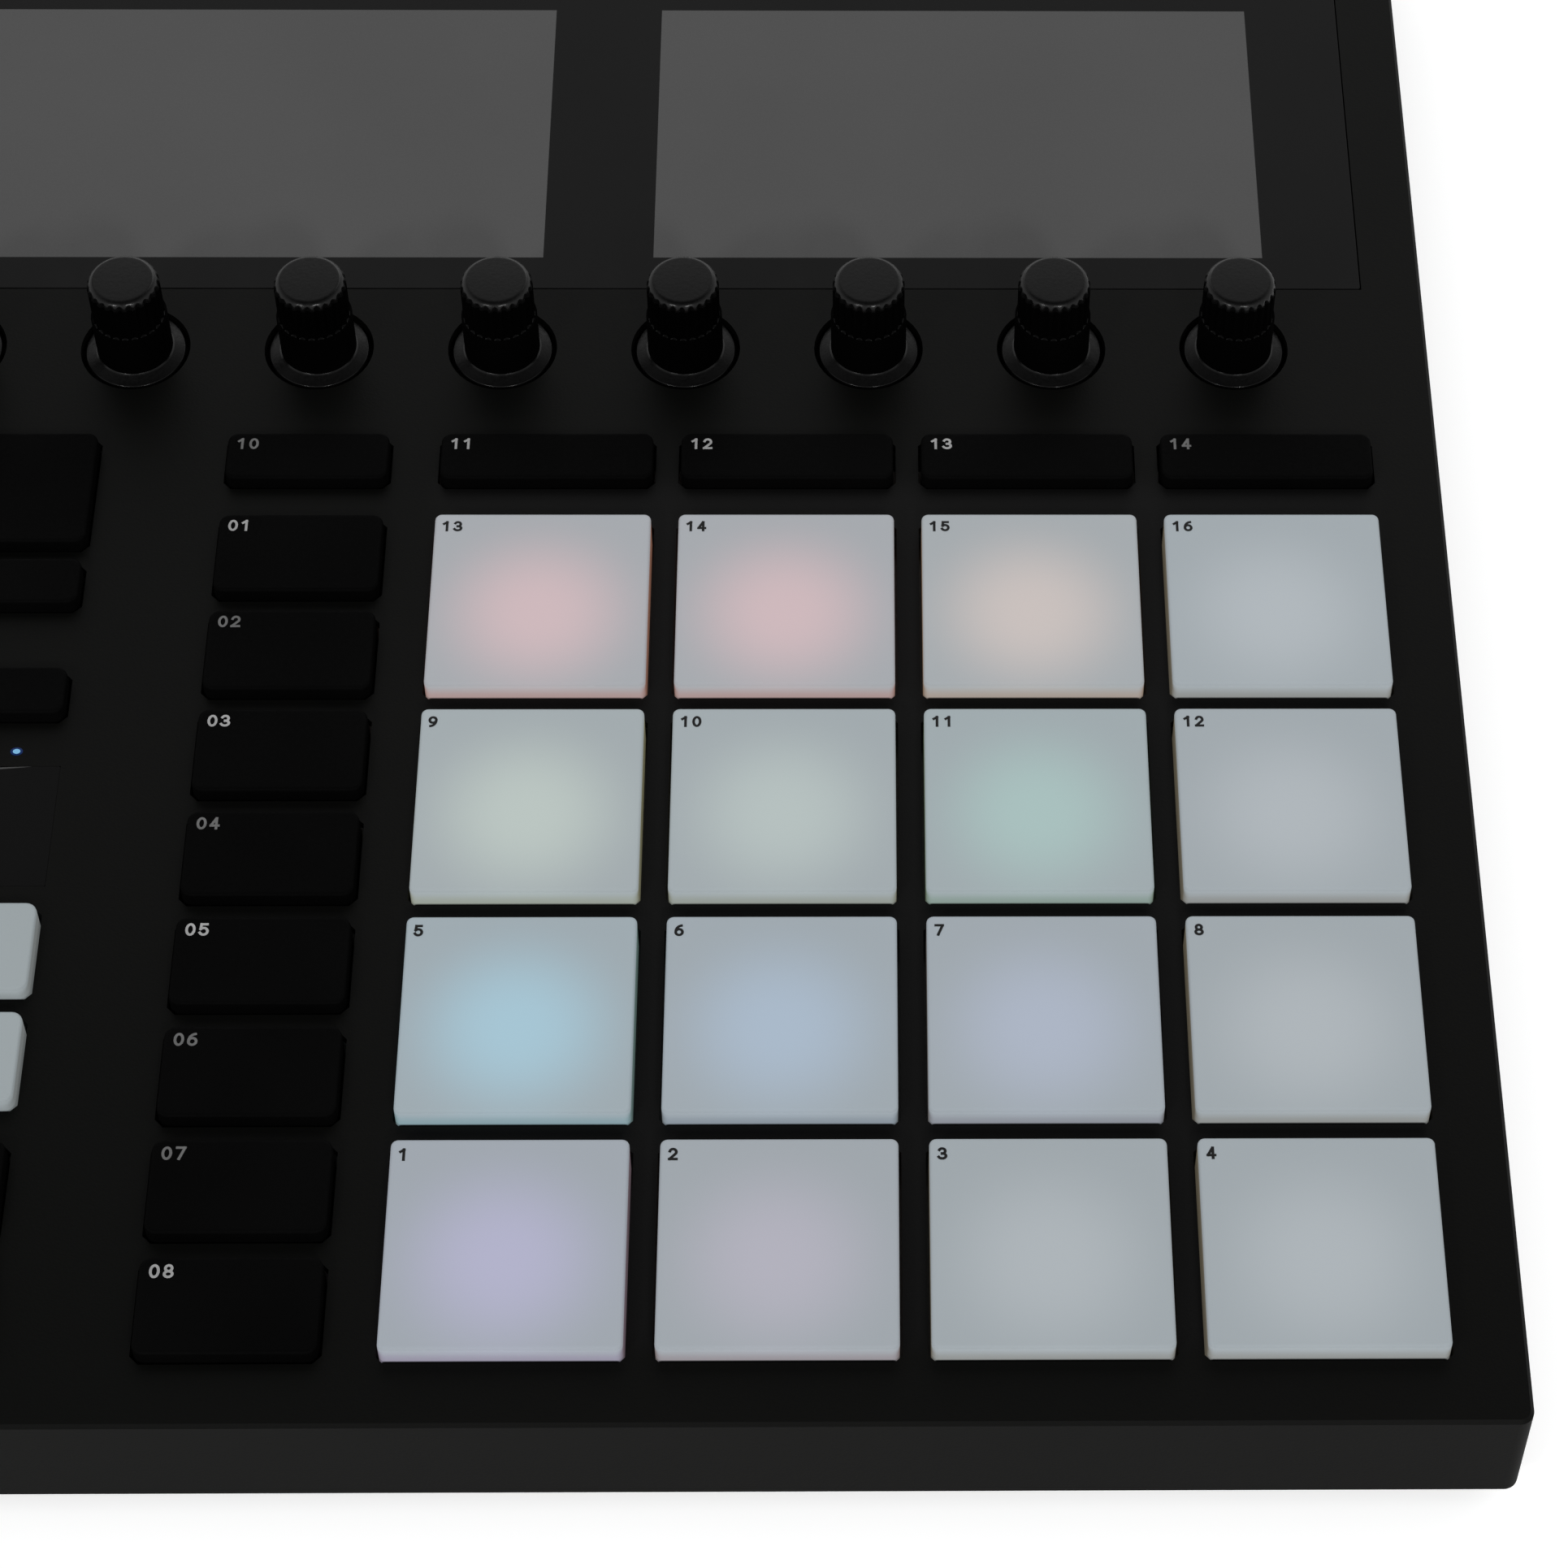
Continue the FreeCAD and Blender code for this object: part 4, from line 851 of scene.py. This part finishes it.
def make_keys():
    for number in range(1, 9):
        make_key(f"column_key_{9 - number}", number)
    make_key("repeat_key", 9)
    make_key("fixed_key", 10)
    for number in range(1, 5):
        make_key(f"mode_key_{number}", 10 + number)
    for node, columns, rows, deep in KEY_BANKS:
        make_key_bank(node, grid_of(node, columns, rows, deep), deep, KEY_RUBBER)
    _, high, middle = box_of("group_keys")
    group_silicone = lit_silicone("group_silicone", *[dimmed(levels) for levels in GROUP_TONES],
                                  (middle.x, middle.y, high.z), GROUP_GLOW_REACH, high.z - PLATE_TOP)
    make_key_bank("group_keys", grid_of("group_keys", 4, 2, GROUP_KEY_DEEP), GROUP_KEY_DEEP, group_silicone)
    # A row of four small keys, and one more behind the last of them
    grid = grid_of("perform_keys", 4, 2, PERFORM_KEY_DEEP)
    make_key_bank("perform_keys", grid[:4] + grid[-1:], PERFORM_KEY_DEEP, KEY_RUBBER)


# Knobs and dial

def flute(verts, count, wall, depth, low, high):
    """Presses rounded flutes into the wall of a turned piece about the Z axis."""
    for vert in verts:
        if not low <= vert.co.z <= high:
            continue
        radius = math.hypot(vert.co.x, vert.co.y)
        wave = math.cos(count * math.atan2(vert.co.y, vert.co.x))
        hollow = max(0.0, (wave + FLUTE_SHARE) / (1 + FLUTE_SHARE)) ** FLUTE_ROUND
        limit = wall - depth * hollow
        if radius > limit:
            vert.co.x *= limit / radius
            vert.co.y *= limit / radius


def knob_finish(height, radius):
    """Which of a knob's materials a face has: flat top (painted light), glossy edge, dark wall (painted
    shade) or skirt.
    """
    if height > KNOB_TOP_AT - KNOB_FLAT:
        return 0
    # The lower ends of the flutes take the top's lighter finish, as painted glints
    if FLUTE_END_LOW < height < FLUTE_END_HIGH and radius < FLUTE_END_RADIUS:
        return 0
    if height > KNOB_TOP_AT - KNOB_ROUND_HIGH:
        return 1
    if height > SKIRT_TOP:
        return 2
    return 1 if height > SKIRT_GLOSS or RIM_LOW < height < RIM_HIGH else 3


def make_knobs():
    edge = sweep(KNOB_RADIUS - KNOB_ROUND_WIDE, KNOB_TOP_AT - KNOB_ROUND_HIGH, KNOB_ROUND_WIDE,
                 KNOB_ROUND_HIGH, 0, 90, 12)
    profile = [(radius, PLATE_TOP + height) for radius, height in
               KNOB_PROFILE + edge + [(0.0, KNOB_TOP_AT + KNOB_DOME)]]
    for number in range(1, 9):
        name = f"knob_{number}"
        middle = box_of(name)[2]
        bm = bmesh.new()
        turned(bm, profile, FLUTES * FLUTE_STEPS)
        flute(bm.verts, FLUTES, KNOB_RADIUS, FLUTE_DEEP, PLATE_TOP + FLUTE_LOW, PLATE_TOP + FLUTE_HIGH)
        for face in bm.faces:
            place = face.calc_center_median()
            face.material_index = knob_finish(place.z - PLATE_TOP, math.hypot(place.x, place.y))
        move(bm, bm.verts, middle.x, middle.y)
        piece(name + "_body", bm, [KNOB_TOP, KNOB_EDGE, KNOB_WALL, KNOB_SKIRT], name,
              replaced=name, angle=TURNED_SHARP)


def make_dial():
    low, high, middle = box_of("dial")
    radius = (high.x - low.x) / 2
    foot = [(0.0, low.z), (radius - DIAL_FOOT, low.z), (radius, low.z + DIAL_FOOT)]
    rim = [(radius - inwards, high.z - down) for inwards, down in DIAL_RIM]
    bm = bmesh.new()
    turned(bm, foot + rim + [(0.0, high.z - DIAL_HOLLOW)], DIAL_FLUTES * DIAL_FLUTE_STEPS)
    flute(bm.verts, DIAL_FLUTES, radius, DIAL_FLUTE_DEEP, low.z + DIAL_FLUTES_FROM, high.z - DIAL_FLUTES_TO)
    move(bm, bm.verts, middle.x, middle.y)
    piece("dial_body", bm, [KNOB_TOP], "dial", replaced="dial", angle=TURNED_SHARP)


# Displays and touch strip

def make_window():
    """The glass over both displays, with their lit areas."""
    low, high, middle = box_of("display_window")
    bm = bmesh.new()
    soft_block(bm, high.x - low.x + 2 * GLASS_SPREAD, high.y - low.y + 2 * GLASS_SPREAD, low.z, high.z,
               GLASS_CORNER, GLASS_SOFT, middle.x, middle.y)
    centres = [middle.x + side * PANEL_PITCH / 2 for side in (-1, 1)]
    lit = [(x - LIT_WIDE / 2, x + LIT_WIDE / 2) for x in centres]
    for left, right in lit:
        split(bm, 0, left)
        split(bm, 0, right)
    front = middle.y - LIT_FORWARD - LIT_DEEP / 2
    back = front + LIT_DEEP
    split(bm, 1, front)
    split(bm, 1, back)
    for face in bm.faces:
        place = face.calc_center_median()
        inside = any(left < place.x < right for left, right in lit) and front < place.y < back
        if inside and place.z > high.z - NEAR:
            face.material_index = 1
    piece("display_glass", bm, [GLASS_EDGE, PANEL_GREY], "case",
          replaced="display_window", angle=GLASS_SHARP)


def make_touch_strip():
    low, high, middle = box_of("touch_strip")
    wide, deep = (side + 2 * STRIP_SPREAD - 2 * STRIP_LIP for side in (high.x - low.x, high.y - low.y))
    back = middle.y + deep / 2
    bm = bmesh.new()
    soft_block(bm, wide, deep, PLATE_TOP - SHEET, high.z, STRIP_CORNER, STRIP_EDGE, middle.x, middle.y)
    split(bm, 0, STRIP_SLOPE_FULL)
    split(bm, 0, STRIP_SLOPE_END)
    split(bm, 1, back - STRIP_SLOPE_DEEP)
    for vert in bm.verts:
        beyond = vert.co.y - back + STRIP_SLOPE_DEEP
        before_end = vert.co.x < STRIP_SLOPE_END - NEAR
        if beyond > NEAR and before_end and vert.co.z > high.z - STRIP_SLOPE_BAND:
            vert.co.z -= STRIP_SLOPE_DROP * beyond / STRIP_SLOPE_DEEP
    sloped = [face for face in bm.faces if face.calc_center_median().y > back - STRIP_SLOPE_FACES]
    bmesh.ops.triangulate(bm, faces=sloped)
    for face in bm.faces:
        upward = face.normal.z > 0.9 and face.normal.y > STRIP_SLOPE_SHOWS
        face.material_index = 1 if upward and face.calc_center_median().x < STRIP_SLOPE_END else 0
    piece("touch_strip_face", bm, [STRIP_BLACK, STRIP_GLOSS], "case",
          replaced="touch_strip", angle=STRIP_SHARP)


def make_status_lamp():
    """A tiny blue lamp behind the touch strip."""
    bm = bmesh.new()
    turned(bm, STATUS_PROFILE, STATUS_STEPS)
    for face in bm.faces:
        place = face.calc_center_median()
        face.material_index = 0 if math.hypot(place.x, place.y) < STATUS_LENS else 1
    bmesh.ops.scale(bm, vec=STATUS_STRETCH, verts=bm.verts)
    move(bm, bm.verts, *STATUS_PLACE)
    piece("status_lamp", bm, [STATUS_BLUE, STATUS_RIM], "case")


# Rear

def rear_piece(name, profile, x, y, z, material, steps, body="case", replaced=None):
    """A turned piece whose axis points to the back, from a profile of (radius, distance from y)."""
    bm = bmesh.new()
    turned(bm, profile, steps)
    bmesh.ops.rotate(bm, verts=bm.verts, cent=(0, 0, 0), matrix=Matrix.Rotation(-math.pi / 2, 3, "X"))
    move(bm, bm.verts, x, y, z)
    piece(name, bm, [material], body, replaced=replaced)


def tube(outer, inner, long, soft):
    """The profile of a tube with a soft outer end."""
    return [(outer, 0.0), (outer, long - soft), (outer - soft, long), (inner + soft, long),
            (inner, long - soft), (inner, 0.0), (outer, 0.0)]


def make_round_sockets():
    """The sleeves and contacts of the round sockets."""
    for number, x in enumerate(ROUND_PLACES, 1):
        name = f"round_socket_{number}"
        rear_piece(name + "_sleeve", tube(*ROUND_SLEEVE), x, ROUND_FLOOR + SEAT, SOCKET_HIGH,
                   SOCKET_METAL, 64)
        for contact in range(ROUND_CONTACTS):
            turn = math.radians(CONTACT_STEP * contact)
            rear_piece(f"{name}_contact_{contact + 1}", tube(*ROUND_CONTACT),
                       x + CONTACT_RING * math.cos(turn), ROUND_FLOOR - CONTACT_SINK,
                       SOCKET_HIGH + CONTACT_RING * math.sin(turn), PIN_METAL, 20)


def make_square_socket():
    """The shell and contacts of the square socket."""
    wide, high = SQUARE_MOUTH
    left, right = SQUARE_PLACE - wide / 2, SQUARE_PLACE + wide / 2
    low, top = SOCKET_HIGH - high / 2, SOCKET_HIGH + high / 2
    near, far = SQUARE_FLOOR + SEAT, SOCKET_BACK - SEAT
    inner_left, inner_right = left + SHELL_THICK, right - SHELL_THICK
    bm = bmesh.new()
    for first, last in (((left, low), (inner_left, top)), ((inner_right, low), (right, top)),
                        ((inner_left, low), (inner_right, low + SHELL_THICK)),
                        ((inner_left, top - SHELL_THICK), (inner_right, top))):
        block(bm, (first[0], near, first[1]), (last[0], far, last[1]))
    piece("square_socket_shell", bm, [SOCKET_METAL], "case")
    wide, long, thick = TONGUE_CONTACT
    across, up = TONGUE_PLACES
    bm = bmesh.new()
    for x in (SQUARE_PLACE - across, SQUARE_PLACE + across):
        for z in (SOCKET_HIGH - up, SOCKET_HIGH + up):
            block(bm, (x - wide / 2, SQUARE_FLOOR, z - thick / 2),
                  (x + wide / 2, SQUARE_FLOOR + long, z + thick / 2))
    piece("square_socket_contacts", bm, [CONTACT_GOLD], "case")


def make_power_inlet():
    """The inlet's pin and sleeve."""
    rear_piece("power_inlet_pin", INLET_PIN, INLET_PLACE, SQUARE_FLOOR, SOCKET_HIGH, PIN_METAL, 32)
    rear_piece("power_inlet_sleeve", tube(*INLET_SLEEVE), INLET_PLACE, SQUARE_FLOOR + SEAT, SOCKET_HIGH,
               SOCKET_METAL, 48)


def make_power_button():
    low, high, middle = box_of("power_button")
    radius, long = (high.x - low.x) / 2, high.y - low.y
    profile = [(0.0, 0.0), (radius, 0.0)]
    profile += [(radius - inwards, long - down) for inwards, down in BUTTON_RIM]
    profile += [(0.0, long - BUTTON_HOLLOW)]
    rear_piece("power_button_cap", profile, middle.x, low.y, middle.z, PART_BLACK, 64, "power_button",
               "power_button")


CAD_FINISHES = {
    "top_cover": POWDER_COAT, "base_tray": TRAY_PLASTIC, "rubber_feet": FOOT_RUBBER,
    "case_screws": SCREW_STEEL, "circuit_boards": BOARD_GREEN, "pad_board": BOARD_GREEN,
    "key_mat": SILICONE_GREY, "display_bezel": PART_BLACK, "display_panels": PANEL_GREY,
    "knob_encoders": PART_BLACK, "rear_sockets": PART_BLACK, "dial_stem": SHAFT_GREY,
}


def finish_cad_nodes():
    for name, material in CAD_FINISHES.items():
        mesh = nodes[name].data
        if not mesh.materials:
            mesh.materials.append(material)
        for slot in range(len(mesh.materials)):
            mesh.materials[slot] = material


make_camera()
make_world()
make_floor()
make_lamps()
make_pads()
make_keys()
make_knobs()
make_dial()
make_window()
make_touch_strip()
make_status_lamp()
make_power_button()
make_round_sockets()
make_square_socket()
make_power_inlet()
finish_cad_nodes()
